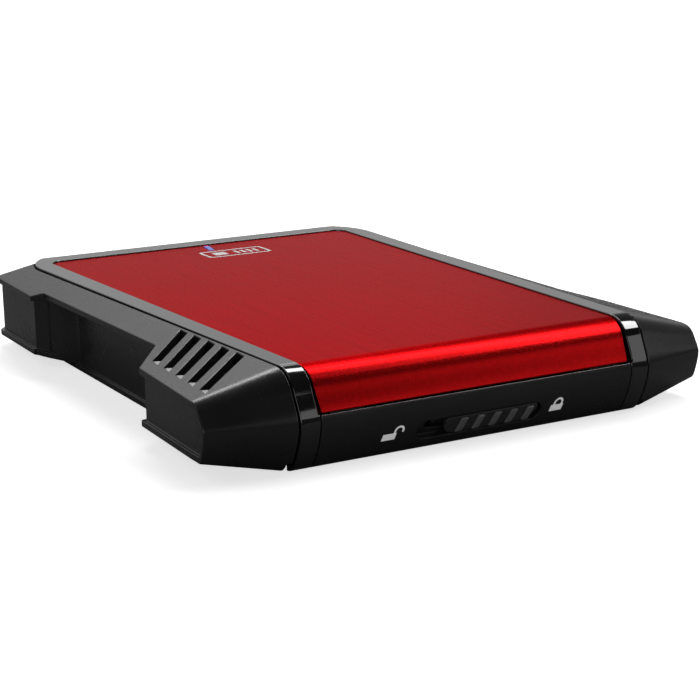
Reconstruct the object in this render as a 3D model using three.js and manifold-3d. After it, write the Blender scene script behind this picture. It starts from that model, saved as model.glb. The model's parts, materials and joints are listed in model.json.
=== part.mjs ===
// External solid state drive: a 2.5-inch SATA drive in a tool-free USB enclosure.
// Units are millimetres. X runs across the width, Y from the lock at the front (-Y) to the USB
// socket at the back (+Y), and Z up from the underside. The origin is the centre of the footprint.
import * as THREE from "three";
import { mergeVertices } from "three/addons/utils/BufferGeometryUtils.js";
import Module from "manifold-3d";

// ---------------------------------------------------------------- driving dimensions
const HEIGHT = 17.5;
const CLEARANCE = 0.3; // between a piece and the neighbour that it is cut by or fitted into

// Cover: a shell whose side view is a C at the front, a flat top and a short lip at the back.
const COVER = { thickness: 1.8, topFrontY: -53.6, noseY: -61.2, noseZ: 8.6, footY: -55.9 };
const BACK = { topY: 56.2, wallY: 61.2, rise: 5, lipZ: 8.2, footY: 56.6, wallFootZ: 8 };
const COVER_HALF = { middle: 37.6, taper: 0.0435, backCorner: 14.5 }; // half width at Y = 0, and its growth
const PLATE_HALF = { middle: 33.6, taper: 0.0344, backCorner: 2.5 };
const PLATE = { backY: 51.9, frontZ: 10.3, sink: 0.3, thickness: 0.7, gap: 0.15 };
const FASCIA = { half: 31.2, gap: 0.15 };
const FRAME_POST = { x: [-26, 26], y: -54.6, radius: 1.8, footZ: 11.4 }; // the fascia screws to these

// Lock: a slider in a track on the fascia.
const LOCK = { travel: 5.2, trackHalf: 12.6, lowZ: 2.3, highZ: 5.8, trackDepth: 1.2, slotEdge: 1.05 };
const BUTTON = { endGap: 0.2, right: 12.3, proud: 0.35, side: 0.25, ribs: 5, ribHalf: 0.75, ribLean: 0.55 };
const FINGER = { leftX: [-8, 11], width: 2.4, keeperSide: 0.3, keeperTopZ: 3.4 };

// Outer housing: wings that fall away from the cover, with a bumper at each corner.
const WING = { rootX: 25, innerZ: 17.44, outerX: 50.2, outerZ: 13.27, sheet: 2 };
const BUMPER = { topY: -51.9, noseY: -56.95, noseZ: 8.7, footY: -54.8, footZ: 3.4 };
const REAR_ROOT = { topY: 50.5, rise: 5 }; // the wing's round back edge beside the cover
const REAR_END = { topY: 58.6, wallY: 61, rise: 2.6, footY: 56, wallFootZ: 8 };
const WALL = 1.6;
const PANEL = { inset: 0.8, rim: 1.2 };
const VENT = { count: 5, pitch: 5.2, firstY: -22.2, half: 1.4, outerX: 46.6, outerY: -28.9, drift: 0.18 };
const LEDGE = { innerX: 35.3, lowZ: 14, highZ: 15.4 };
const LIP_HALF = 26; // half width of the cover's lip at the back, between the housing's corners

// 2.5-inch drive, 7 mm class.
const DRIVE = { width: 69.85, length: 100.45, height: 7, backY: 47.9, baseZ: 3.7, wall: 1.1 };
const PLUG = { x: -9.1, half: 21, lowZ: 4.9, highZ: 9.3, depth: 5 };
const BLADE = { lowZ: 6.5, thickness: 1.2 };
const BOARD = { frontY: 48.7, backY: 57.3, half: 31, lowZ: 2.4, thickness: 1.2 };
const USB = { x: 18, half: 6.1, height: 3, frontY: 52.2, backY: 60.2 };
const LED = { x: 0.3, slitFrontY: 45.9, slitBackY: 51.3, width: 1.3 };
const FLOOR = { half: 36, frontY: -55.3, backY: 56.3, thickness: 1.5 };
const FLOOR_SCREW = { x: [-33.2, 33.2], y: 54 };
const BOARD_SCREW = { x: [-28.5, 28.5], y: 54.6 };

// ---------------------------------------------------------------- solid helpers
const wasm = await Module();
wasm.setup();

function solidFrom(geometry) {
  const bare = new THREE.BufferGeometry();
  const loose = geometry.index ? geometry.toNonIndexed() : geometry;
  bare.setAttribute("position", loose.attributes.position);
  const merged = mergeVertices(bare, 1e-4);
  const vertProperties = merged.attributes.position.array;
  const triVerts = new Uint32Array(merged.index.array);
  return new wasm.Manifold(new wasm.Mesh({ numProp: 3, vertProperties, triVerts }));
}

function geometryFrom(solid) {
  const mesh = solid.getMesh();
  const geometry = new THREE.BufferGeometry();
  geometry.setAttribute("position", new THREE.BufferAttribute(new Float32Array(mesh.vertProperties), 3));
  geometry.setIndex(new THREE.BufferAttribute(new Uint32Array(mesh.triVerts), 1));
  geometry.computeVertexNormals();
  return geometry;
}

const point = (x, y) => new THREE.Vector2(x, y);

function counterClockwise(points) {
  return THREE.ShapeUtils.area(points) < 0 ? [...points].reverse() : points;
}

function extrude(points, depth) {
  const shape = new THREE.Shape(counterClockwise(points));
  return new THREE.ExtrudeGeometry(shape, { depth, bevelEnabled: false, steps: 1 });
}

// An outline in plan (x, y), from one height to another.
function prismZ(points, lowZ, highZ) {
  return solidFrom(extrude(points, highZ - lowZ).translate(0, 0, lowZ));
}

// An outline in side view (y, z), from one x to another.
function prismX(points, lowX, highX) {
  const turn = new THREE.Matrix4().makeBasis(
    new THREE.Vector3(0, 1, 0),
    new THREE.Vector3(0, 0, 1),
    new THREE.Vector3(1, 0, 0),
  );
  return solidFrom(extrude(points, highX - lowX).applyMatrix4(turn).translate(lowX, 0, 0));
}

// An outline in front view (x, z), from one y to another.
function prismY(points, lowY, highY) {
  const turn = new THREE.Matrix4().makeBasis(
    new THREE.Vector3(1, 0, 0),
    new THREE.Vector3(0, 0, 1),
    new THREE.Vector3(0, -1, 0),
  );
  return solidFrom(extrude(points, highY - lowY).applyMatrix4(turn).translate(0, highY, 0));
}

function box([lowX, lowY, lowZ], [highX, highY, highZ]) {
  const geometry = new THREE.BoxGeometry(highX - lowX, highY - lowY, highZ - lowZ);
  return solidFrom(geometry.translate((lowX + highX) / 2, (lowY + highY) / 2, (lowZ + highZ) / 2));
}

function cylinderZ(x, y, radius, lowZ, highZ, sides = 20) {
  const geometry = new THREE.CylinderGeometry(radius, radius, highZ - lowZ, sides).rotateX(Math.PI / 2);
  return solidFrom(geometry.translate(x, y, (lowZ + highZ) / 2));
}

function mirrored(solid) {
  const geometry = geometryFrom(solid).scale(-1, 1, 1);
  const index = geometry.index.array;
  for (let i = 0; i < index.length; i += 3) {
    [index[i + 1], index[i + 2]] = [index[i + 2], index[i + 1]];
  }
  return solidFrom(geometry);
}

// Straight-sided body through closed sections with as many points each. flatten gives a point's
// place in the plane of the end sections.
function loft(sections, flatten) {
  const count = sections[0].length;
  const triangles = [];
  const isClockwise = THREE.ShapeUtils.area(sections[0].map(flatten)) < 0;
  const rings = sections.map((ring) => (isClockwise ? [...ring].reverse() : ring));
  for (let k = 0; k + 1 < rings.length; k++) {
    const [near, far] = [rings[k], rings[k + 1]];
    for (let i = 0; i < count; i++) {
      const j = (i + 1) % count;
      triangles.push([near[i], near[j], far[j]], [near[i], far[j], far[i]]);
    }
  }
  const cap = (ring) => {
    const faces = THREE.ShapeUtils.triangulateShape(ring.map(flatten), []);
    return faces.map((face) => face.map((i) => ring[i]));
  };
  triangles.push(...cap(rings[0]).map((face) => face.reverse()), ...cap(rings.at(-1)));
  const volume = triangles.reduce((sum, [p, q, r]) => sum + p.dot(q.clone().cross(r)), 0);
  const outward = volume < 0 ? triangles.map((face) => face.reverse()) : triangles;
  const geometry = new THREE.BufferGeometry().setFromPoints(outward.flat());
  return solidFrom(geometry);
}

// ---------------------------------------------------------------- curves of the side view
// A rolled edge as two joined cubic curves, in shares of its width (0 at the nose) and height.
const UPPER_ROLL = [[1, 1], [0.63, 1], [0.41, 0.865], [0.276, 0.607], [0.158, 0.371], [0, 0.18], [0, 0]];
const LOWER_ROLL = [[0, 1], [0, 0.767], [0.302, 0.372], [0.547, 0.14], [0.679, 0.047], [0.83, 0], [1, 0]];
const ROLL_STEPS = 5;

function rollPoints(shares, place) {
  const knots = shares.map(([u, v]) => place(u, v));
  const first = new THREE.CubicBezierCurve(...knots.slice(0, 4)).getPoints(ROLL_STEPS);
  const second = new THREE.CubicBezierCurve(...knots.slice(3, 7)).getPoints(ROLL_STEPS);
  return [...first, ...second.slice(1)];
}

// The front of the side view, from the top edge round the nose to the foot.
function frontCurve({ topY, topZ, noseY, noseZ, footY, footZ }) {
  const placeUpper = (u, v) => point(noseY + u * (topY - noseY), noseZ + v * (topZ - noseZ));
  const placeLower = (u, v) => point(noseY + u * (footY - noseY), footZ + v * (noseZ - footZ));
  return [...rollPoints(UPPER_ROLL, placeUpper), ...rollPoints(LOWER_ROLL, placeLower).slice(1)];
}

// The round edge at the back, from the wall up to the top.
function backEdge({ topY, topZ, wallY, rise }) {
  const curve = new THREE.EllipseCurve(topY, topZ - rise, wallY - topY, rise, 0, Math.PI / 2);
  return curve.getPoints(2 * ROLL_STEPS);
}

// The back of the side view, from the foot up the wall and over a round edge to the top.
function backCurve({ topY, topZ, wallY, rise, footY, footZ, wallFootZ }) {
  const placeLower = (u, v) => point(wallY + u * (footY - wallY), footZ + v * (wallFootZ - footZ));
  return [...rollPoints(LOWER_ROLL, placeLower).reverse(), ...backEdge({ topY, topZ, wallY, rise })];
}

function offsetOutline(points, distance, closed) {
  const count = points.length;
  return points.map((here, i) => {
    const before = closed ? points[(i + count - 1) % count] : points[Math.max(i - 1, 0)];
    const after = closed ? points[(i + 1) % count] : points[Math.min(i + 1, count - 1)];
    const into = here.clone().sub(before).normalize();
    const out = after.clone().sub(here).normalize();
    const along = (into.lengthSq() ? into : out).clone().add(out.lengthSq() ? out : into).normalize();
    const stretch = 1 / Math.max(along.dot(out.lengthSq() ? out : into), 0.5);
    return point(here.x - along.y * distance * stretch, here.y + along.x * distance * stretch);
  });
}

// The outside of the cover in side view, from the lip at the back to the foot at the front.
function coverCurve() {
  const front = frontCurve({ ...COVER, topY: COVER.topFrontY, topZ: HEIGHT, footZ: 0 });
  return [point(BACK.wallY, BACK.lipZ), ...backEdge({ ...BACK, topZ: HEIGHT }), ...front];
}

// A layer of the cover between two depths under its outside, as a side-view outline.
function coverLayer(outerDepth, innerDepth) {
  const curve = coverCurve();
  return [...offsetOutline(curve, outerDepth, false), ...offsetOutline(curve, innerDepth, false).reverse()];
}

const halfAt = ({ middle, taper }, y) => middle + taper * y;

// The tapered plan of the cover or the plate, grown by a margin, with round corners at the back.
function taperedPlan(half, frontY, backY, margin) {
  const radius = half.backCorner + margin;
  const edge = (y) => halfAt(half, y) + margin;
  const cornerY = backY + margin - radius;
  const corner = new THREE.EllipseCurve(edge(cornerY) - radius, cornerY, radius, radius, 0, Math.PI / 2);
  const right = [point(edge(frontY), frontY), ...corner.getPoints(Math.ceil(4 + radius / 2))];
  return [...right, ...right.map((p) => point(-p.x, p.y)).reverse()];
}

// Half width of the cover in plan, with its round corner at the back.
function coverHalfAt(y) {
  const radius = COVER_HALF.backCorner;
  const cornerY = BACK.wallY - radius;
  if (y <= cornerY) return halfAt(COVER_HALF, y);
  const past = Math.min(y, BACK.wallY) - cornerY;
  return halfAt(COVER_HALF, cornerY) - radius + Math.sqrt(radius ** 2 - past ** 2);
}

// The back part of the cover's plan, moved inward by a depth.
function coverInside(depth) {
  const half = {
    middle: COVER_HALF.middle - depth,
    taper: COVER_HALF.taper,
    backCorner: COVER_HALF.backCorner - depth,
  };
  return taperedPlan(half, 39, BACK.wallY - depth, 0);
}

// ---------------------------------------------------------------- cover
function coverShell() {
  const layer = prismX(coverLayer(0, COVER.thickness), -60, 60);
  const belowTop = box([LIP_HALF, 50, 0], [60, 70, LEDGE.highZ + CLEARANCE - 0.05]);
  return layer
    .intersect(prismZ(taperedPlan(COVER_HALF, -70, BACK.wallY, 0), -1, HEIGHT + 1))
    .subtract(belowTop)
    .subtract(mirrored(belowTop));
}

const zone = (lowY, highY, lowZ, highZ) => box([-60, lowY, lowZ], [60, highY, highZ]);

// Where the plate lies: the top in front of its back edge, and the front above its lower edge.
function plateZone(margin) {
  const top = taperedPlan(PLATE_HALF, -70, PLATE.backY, margin);
  return prismZ(top, PLATE.frontZ - margin, HEIGHT + 2);
}

function fasciaZone(margin) {
  const side = FASCIA.half + margin;
  return box([-side, -70, -1], [side, -50, PLATE.frontZ - PLATE.gap]);
}

function coverFrame() {
  const pocket = prismX(coverLayer(-1.5, PLATE.sink + PLATE.thickness + PLATE.gap), -60, 60);
  const slit = ledSlit(CLEARANCE, 10, HEIGHT + 1);
  return coverShell()
    .subtract(pocket.intersect(plateZone(PLATE.gap)))
    .subtract(fasciaZone(FASCIA.gap))
    .subtract(slit)
    .add(frameBosses());
}

// Two posts under the frame that the fascia's tabs screw to.
function frameBosses() {
  const topZ = HEIGHT - COVER.thickness + 0.1;
  const post = (x) => cylinderZ(x, FRAME_POST.y, FRAME_POST.radius, FRAME_POST.footZ, topZ);
  const bore = (x) => cylinderZ(x, FRAME_POST.y, 1, FRAME_POST.footZ - 1, topZ - 0.8);
  return FRAME_POST.x.map((x) => post(x).subtract(bore(x))).reduce((all, boss) => all.add(boss));
}

function topPlate() {
  const layer = prismX(coverLayer(PLATE.sink, PLATE.sink + PLATE.thickness), -60, 60);
  return layer.intersect(plateZone(0)).subtract(ledSlit(0.1, 10, HEIGHT + 1));
}

// The slanted slit that the status light shows through.
function ledSlit(margin, lowZ, highZ) {
  const half = LED.width / 2 + margin;
  const lean = 0.5;
  const front = LED.slitFrontY - margin;
  const back = LED.slitBackY + margin;
  const outline = [
    point(LED.x - half - lean, front),
    point(LED.x + half - lean, front),
    point(LED.x + half + lean, back),
    point(LED.x - half + lean, back),
  ];
  return prismZ(outline, lowZ, highZ);
}

function ledLightPipe() {
  const top = HEIGHT - PLATE.sink;
  const half = LED.width / 2 - 0.1;
  const bend = [point(48.9, 12.6), point(52.3, 9.1), point(54.3, 9.1), point(54.3, 9.9), point(51.2, 13.4)];
  const foot = prismX(bend, LED.x - half, LED.x + half);
  return ledSlit(-0.05, 12, top).add(foot);
}

function stadium(centreX, half, lowZ, highZ) {
  const radius = (highZ - lowZ) / 2;
  const centreZ = lowZ + radius;
  const end = (x, from) => {
    const curve = new THREE.EllipseCurve(x, centreZ, radius, radius, from, from + Math.PI);
    return curve.getPoints(8);
  };
  const reach = half - radius;
  return [...end(centreX + reach, -Math.PI / 2), ...end(centreX - reach, Math.PI / 2)];
}

// A tab behind the fascia, which reaches back under the frame's post and takes its screw.
function fasciaTab(x) {
  const root = box([x - 3, -60, 8.2], [x + 3, -57.4, 10]);
  const arm = box([x - 3, -58.3, 9.6], [x + 3, -53, 11]);
  return root.add(arm).subtract(cylinderZ(x, FRAME_POST.y, 1.1, 8, 12));
}

function frontFascia() {
  const layer = prismX(coverLayer(0, COVER.thickness), -FASCIA.half, FASCIA.half);
  const recess = prismX(coverLayer(-1, LOCK.trackDepth), -60, 60)
    .intersect(prismY(stadium(0, LOCK.trackHalf, LOCK.lowZ, LOCK.highZ), -70, -50));
  const slotEnds = [LOCK.lowZ + LOCK.slotEdge, LOCK.highZ - LOCK.slotEdge];
  const stemSlot = prismY(stadium(0, LOCK.trackHalf - 2.2, ...slotEnds), -70, -50);
  const tabs = FRAME_POST.x
    .map((x) => fasciaTab(x))
    .reduce((all, tab) => all.add(tab));
  return layer
    .intersect(fasciaZone(0).intersect(zone(-70, -40, -1, PLATE.frontZ - 2 * PLATE.gap)))
    .subtract(recess)
    .subtract(stemSlot)
    .add(tabs);
}

function panScrew(headRadius, headHeight, shankRadius, length) {
  const head = cylinderZ(0, 0, headRadius, 0, headHeight);
  const shank = cylinderZ(0, 0, shankRadius, -length, 0.1, 12);
  const slotA = box([-headRadius * 0.6, -0.18, headHeight / 2], [headRadius * 0.6, 0.18, headHeight + 1]);
  const slotB = box([-0.18, -headRadius * 0.6, headHeight / 2], [0.18, headRadius * 0.6, headHeight + 1]);
  return head.add(shank).subtract(slotA).subtract(slotB);
}

// ---------------------------------------------------------------- lock
const fasciaBand = (outerDepth, innerDepth) => prismX(coverLayer(outerDepth, innerDepth), -60, 60);

function slantedBar(centreX, halfWidth, lowZ, highZ, lean) {
  return [
    point(centreX - halfWidth - lean, lowZ),
    point(centreX + halfWidth - lean, lowZ),
    point(centreX + halfWidth + lean, highZ),
    point(centreX - halfWidth + lean, highZ),
  ];
}

function lockButton() {
  const lowZ = LOCK.lowZ + BUTTON.side;
  const highZ = LOCK.highZ - BUTTON.side;
  const left = LOCK.travel - LOCK.trackHalf + BUTTON.endGap;
  const outline = [
    point(left + 1, lowZ),
    point(BUTTON.right - 2, lowZ),
    point(BUTTON.right - 0.6, highZ - 0.9),
    point(BUTTON.right - 0.8, highZ),
    point(left + 1, highZ),
    point(left + 0.15, highZ - 1),
    point(left + 0.15, lowZ + 1),
  ];
  const plate = fasciaBand(0, LOCK.trackDepth - CLEARANCE).intersect(prismY(outline, -70, -50));
  const stemLowZ = LOCK.lowZ + LOCK.slotEdge + CLEARANCE;
  const stemHighZ = LOCK.highZ - LOCK.slotEdge - CLEARANCE;
  const stems = [-3.4, 6.6].map((x) => box([x, -59.6, stemLowZ], [x + 2.4, -56.9, stemHighZ]));
  const firstRibX = left + 3.4;
  const ribPitch = (BUTTON.right - left - 6) / (BUTTON.ribs - 1);
  const ribBand = fasciaBand(-BUTTON.proud, 0.4);
  const ribs = Array.from({ length: BUTTON.ribs }, (_, i) => {
    const x = firstRibX + i * ribPitch;
    const bar = slantedBar(x, BUTTON.ribHalf, lowZ + 0.3, highZ - 0.3, BUTTON.ribLean);
    return ribBand.intersect(prismY(bar, -70, -50));
  });
  return [...stems, ...ribs].reduce((all, piece) => all.add(piece), plate);
}

// The bar behind the fascia that the button drives, with a finger at each end.
function lockBar() {
  const bar = box([-8, -56.9, 2.6], [13.4, -56.2, 5.6]);
  const fingers = FINGER.leftX.map((x) => box([x, -56.4, 2.6], [x + FINGER.width, -55.7, 7.6]));
  return fingers.reduce((all, finger) => all.add(finger), bar);
}

// A leaf spring on the fascia with a bump that holds the bar at either end of its travel.
function lockSpring() {
  const curve = [
    point(-16, -56.3),
    point(-14.6, -56.3),
    point(-13, -55.7),
    point(-11.6, -55.4),
    point(-10.2, -55.8),
  ];
  const thickness = 0.25;
  const back = curve.map((p) => point(p.x, p.y + thickness)).reverse();
  const foot = box([-17.4, -58, 7.8], [-15.9, curve[0].y + thickness, 9.6]);
  return prismZ([...curve, ...back], 7.8, 9.6).add(foot);
}

// ---------------------------------------------------------------- outer housing
// Height of the wing's top, which falls in a straight line from the cover's edge to its outer edge.
function wingZ(x, y) {
  const innerX = halfAt(COVER_HALF, y);
  return WING.innerZ + ((WING.outerZ - WING.innerZ) * (x - innerX)) / (WING.outerX - innerX);
}

// Side-view outline of the right side between a front and a back curve, sunk by a depth all round.
function sideOutline(front, back, topZ, footZ, depth) {
  const heights = { topZ: topZ - depth, footZ: footZ + depth };
  const frontPart = frontCurve({ ...front, ...heights, noseY: front.noseY + depth });
  return [...frontPart, ...backCurve({ ...back, ...heights, wallY: back.wallY - depth })];
}

// The right side's outer shape, level up to the cover's edge and then falling to the outer end of
// the bumpers.
function sideEnvelope(depth) {
  const front = { ...COVER, topY: COVER.topFrontY };
  const inner = sideOutline(front, { ...BACK, ...REAR_ROOT }, WING.innerZ, 0, depth);
  const outer = sideOutline(BUMPER, REAR_END, WING.outerZ, BUMPER.footZ, depth);
  const sections = [
    inner.map((p) => new THREE.Vector3(WING.rootX, p.x, p.y)),
    inner.map((p) => new THREE.Vector3(coverHalfAt(p.x), p.x, p.y)),
    outer.map((p) => new THREE.Vector3(WING.outerX, p.x, p.y)),
  ];
  return loft(sections, (p) => point(p.y, p.z));
}

// The wing's edge in plan, from the front bumper past the finger recess to the back bumper.
function wingPlan(inset) {
  const corner = new THREE.EllipseCurve(41.6, 54.2, 4.5, 4, 0, Math.PI / 2).getPoints(6);
  const edge = [
    point(WING.outerX, -70),
    point(WING.outerX, -52),
    point(49.2, -29.1),
    point(43.2, -22.4),
    point(44.3, 31.4),
    point(46.4, 33.4),
    ...corner,
    point(30, 58.2),
    point(30, -70),
  ];
  return inset ? offsetOutline(edge, inset, true) : edge;
}

// The finger recess between the bumpers, under the wing, on the right side.
function recessCut() {
  const plan = [
    point(39.4, -21.6),
    point(42.7, -22),
    point(48.6, -28.6),
    point(56, -28.6),
    point(56, 33.2),
    point(45.7, 33.2),
    point(44.6, 31.4),
    point(42, 29.2),
    point(39.9, 27),
    point(39.4, 25),
  ];
  return prismZ(plan, -2, HEIGHT).intersect(underWing());
}

// The room below the wing's sheet.
function underWing() {
  const section = (y) => [
    new THREE.Vector3(30, y, -3),
    new THREE.Vector3(60, y, -3),
    new THREE.Vector3(60, y, wingZ(60, y) - WING.sheet),
    new THREE.Vector3(30, y, wingZ(30, y) - WING.sheet),
  ];
  return loft([section(-40), section(40)], (p) => point(p.x, p.z));
}

// The sunk panel on the outer end of each bumper, inside its rim.
function panelCut() {
  return sideEnvelope(PANEL.rim).subtract(prismZ(wingPlan(PANEL.inset), -2, HEIGHT + 2));
}

// The hollow of the front bumper, open to the inside of the housing.
function bumperHollow() {
  const outerX = WING.outerX - PANEL.inset - WALL;
  const plan = [
    point(36.7, -53),
    point(outerX, -53),
    point(outerX - 1, -30.1),
    point(outerX - 5.8, -24.8),
    point(36.7, -24.8),
  ];
  const hollow = sideEnvelope(WALL + 0.2).intersect(prismZ(plan, 0, 20));
  return hollow.add(box([30, -46, 5], [38, -33, 12.5]));
}

// Slanted slots through the wing behind the front bumper, cut square at their outer ends.
function ventCuts() {
  return Array.from({ length: VENT.count }, (_, i) => {
    const innerY = VENT.firstY - i * VENT.pitch;
    const innerX = halfAt(COVER_HALF, innerY) + 0.9;
    const outer = point(VENT.outerX + VENT.drift * i, VENT.outerY - VENT.pitch * i);
    const outline = [
      point(innerX, innerY - VENT.half),
      point(outer.x - 0.9, outer.y - 1.6),
      outer,
      point(innerX, innerY + VENT.half),
    ];
    return prismZ(outline, 9, 20);
  });
}

function rightSide() {
  const lowerFlange = box([LEDGE.innerX, -26, 0], [39.9, 52, 1.2]);
  const coverPlan = taperedPlan(COVER_HALF, -70, BACK.wallY, CLEARANCE);
  const underTop = zone(-80, 80, LEDGE.highZ, 30).add(zone(-80, -51, -2, 30));
  const coverRoom = prismZ(coverPlan, -2, 30).intersect(underTop);
  const driveRoom = box([30, -28, WALL], [37.9, 50, LEDGE.lowZ]);
  const cornerRoom = prismZ(coverInside(1.4), -3, 30).intersect(zone(50.2, 80, -4, 31));
  const inside = box([20, -51.5, -3], [LEDGE.innerX, 50.5, 30]).add(cornerRoom);
  const cuts = [recessCut(), panelCut(), bumperHollow(), ...ventCuts(), coverRoom, driveRoom, inside];
  const block = sideEnvelope(0).intersect(prismZ(wingPlan(0), -2, 30));
  return cuts
    .reduce((side, cut) => side.subtract(cut), block)
    .add(lowerFlange);
}

// The wall round the back that joins the two sides: low under the cover's lip, and as high as the
// ledge at the round corners.
function backWall() {
  const curve = backCurve({ ...BACK, topZ: HEIGHT, footZ: 0 });
  const inside = offsetOutline(curve, COVER.thickness, false);
  const outerSide = prismX([point(40, 0), ...curve, point(40, HEIGHT)], -50, 50);
  const innerSide = prismX([point(39, -1), point(BACK.footY - 0.4, -1), ...inside, point(39, HEIGHT)], -50, 50);
  const outerPlan = taperedPlan(COVER_HALF, 40, BACK.wallY, 0);
  const outerBody = prismZ(outerPlan, -1, HEIGHT + 1).intersect(outerSide);
  const innerBody = prismZ(coverInside(COVER.thickness), -2, HEIGHT + 2).intersect(innerSide);
  const cornerX = LIP_HALF + CLEARANCE;
  const front = zone(0, 50.5, -5, 30);
  const aboveLip = box([-cornerX, 45, BACK.lipZ - CLEARANCE], [cornerX, 70, 30]);
  const aboveLedge = zone(0, 80, LEDGE.highZ, 30);
  return [innerBody, front, aboveLip, aboveLedge].reduce((wall, cut) => wall.subtract(cut), outerBody);
}

// The back wall with the socket's opening, the posts of the floor screws and their holes.
function rearWall() {
  const mouth = box(
    [USB.x - USB.half - CLEARANCE, 50, boardTop() - CLEARANCE],
    [USB.x + USB.half + CLEARANCE, 70, boardTop() + USB.height + CLEARANCE],
  );
  const landing = box([USB.x - 8, 60.1, 2.6], [USB.x + 8, 70, 7.2]);
  const post = cylinderZ(FLOOR_SCREW.x[1], FLOOR_SCREW.y, 1.8, FLOOR.thickness + 0.1, 6);
  const bridge = box([33.6, 52.4, 2], [37, 54.6, 6]);
  const foot = post.add(bridge);
  const joined = backWall().add(foot).add(mirrored(foot));
  const screwHoles = FLOOR_SCREW.x.map((x) => cylinderZ(x, FLOOR_SCREW.y, 1.05, 0, 5));
  return [mouth, landing, ...screwHoles].reduce((all, cut) => all.subtract(cut), joined);
}

function outerHousing() {
  const right = rightSide();
  const side = FLOOR.half + CLEARANCE;
  const floorRoom = box([-side, -70, -2], [side, FLOOR.backY + 0.4, FLOOR.thickness + 0.4]);
  return right.add(mirrored(right)).add(rearWall()).subtract(floorRoom);
}

// ---------------------------------------------------------------- floor
function bottomPlate() {
  const corner = 2;
  const plan = [
    point(-FLOOR.half + 2.4, FLOOR.frontY),
    point(FLOOR.half - 2.4, FLOOR.frontY),
    point(FLOOR.half - 2.4, -51),
    point(FLOOR.half, -50),
    point(FLOOR.half, FLOOR.backY - corner),
    point(FLOOR.half - corner, FLOOR.backY),
    point(-FLOOR.half + corner, FLOOR.backY),
    point(-FLOOR.half, FLOOR.backY - corner),
    point(-FLOOR.half, -50),
    point(-FLOOR.half + 2.4, -51),
  ];
  const top = FLOOR.thickness;
  const railTop = 6.2;
  const lowZ = top - 0.1;
  const rail = box([DRIVE.width / 2 + CLEARANCE, -26, lowZ], [FLOOR.half, 46, railTop]);
  const rails = [rail, mirrored(rail)];
  const pad = (x, y) => box([x - 4, y - 5, lowZ], [x + 4, y + 5, DRIVE.baseZ - 0.2]);
  const pads = [-44, -8, 34].flatMap((y) => [pad(-27, y), pad(27, y)]);
  const keepers = FINGER.leftX.map((x) => {
    const [left, right] = [x - FINGER.keeperSide, x + FINGER.width + FINGER.keeperSide];
    return box([left, FLOOR.frontY, lowZ], [right, FLOOR.frontY + 1, FINGER.keeperTopZ]);
  });
  const boardPosts = BOARD_SCREW.x.map((x) => cylinderZ(x, BOARD_SCREW.y, 1.6, lowZ, BOARD.lowZ));
  const shelf = box([-24, 50, lowZ], [24, 51.4, BOARD.lowZ]);
  const holes = BOARD_SCREW.x.map((x) => cylinderZ(x, BOARD_SCREW.y, 0.95, 0.6, 5));
  const sinks = FLOOR_SCREW.x.map((x) => {
    const headRoom = cylinderZ(x, FLOOR_SCREW.y, 2, -1, 0.9);
    return headRoom.add(cylinderZ(x, FLOOR_SCREW.y, 1.05, -1, 3));
  });
  const solid = [...rails, ...pads, ...keepers, ...boardPosts, shelf].reduce(
    (all, piece) => all.add(piece),
    prismZ(plan, 0, top),
  );
  return [...holes, ...sinks].reduce((all, cut) => all.subtract(cut), solid);
}

// ---------------------------------------------------------------- bridge board
const boardTop = () => BOARD.lowZ + BOARD.thickness;

function bridgeBoard() {
  const plan = box([-BOARD.half, BOARD.frontY, BOARD.lowZ], [BOARD.half, BOARD.backY, boardTop()]);
  const holes = BOARD_SCREW.x.map((x) => cylinderZ(x, BOARD_SCREW.y, 1.1, 0, 6));
  return holes.reduce((all, hole) => all.subtract(hole), plan);
}

function usbSocketShell() {
  const low = [USB.x - USB.half, USB.frontY, boardTop()];
  const high = [USB.x + USB.half, USB.backY, boardTop() + USB.height];
  const sheet = 0.35;
  const mouth = box(
    [low[0] + sheet, USB.frontY + 0.8, low[2] + sheet],
    [high[0] - sheet, 70, high[2] - sheet],
  );
  return box(low, high).subtract(mouth);
}

function usbSocketTongue() {
  const lowZ = boardTop() + 0.75;
  const frontY = USB.frontY + 1.1;
  const blade = (left, right) =>
    box([USB.x + left, frontY, lowZ + 0.45], [USB.x + right, USB.backY - 1.2, lowZ + 1.05]);
  const root = box([USB.x - 5.4, frontY, lowZ], [USB.x + 5.4, frontY + 1.5, lowZ + 1.5]);
  return root.add(blade(-4.9, 0.6)).add(blade(1.6, 4.9));
}

// The receptacle: a block on the board with a nose that enters the drive and takes its two blades.
function sataReceptacle() {
  const noseFrontY = DRIVE.backY - PLUG.depth + 1.4;
  const half = PLUG.half - 0.6;
  const side = PLUG.half + 1;
  const block = box([PLUG.x - side, DRIVE.backY + 0.4, boardTop()], [PLUG.x + side, 51.8, 8.8]);
  const nose = box([PLUG.x - half, noseFrontY, PLUG.lowZ + 0.4], [PLUG.x + half, 48.6, PLUG.highZ - 0.6]);
  const lowZ = BLADE.lowZ - CLEARANCE;
  const highZ = BLADE.lowZ + BLADE.thickness + CLEARANCE;
  const slots = bladeSpans().map(([low, high]) =>
    box([low - CLEARANCE, noseFrontY - 1, lowZ], [high + CLEARANCE, 48.4, highZ]),
  );
  return slots.reduce((all, slot) => all.subtract(slot), block.add(nose));
}

// The power blade and the signal blade, from one x to another.
const bladeSpans = () => [
  [PLUG.x - 18.4, PLUG.x + 2.2],
  [PLUG.x + 5.4, PLUG.x + 16],
];

// ---------------------------------------------------------------- drive
const driveFrontY = () => DRIVE.backY - DRIVE.length;
const driveTopZ = () => DRIVE.baseZ + DRIVE.height;

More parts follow.
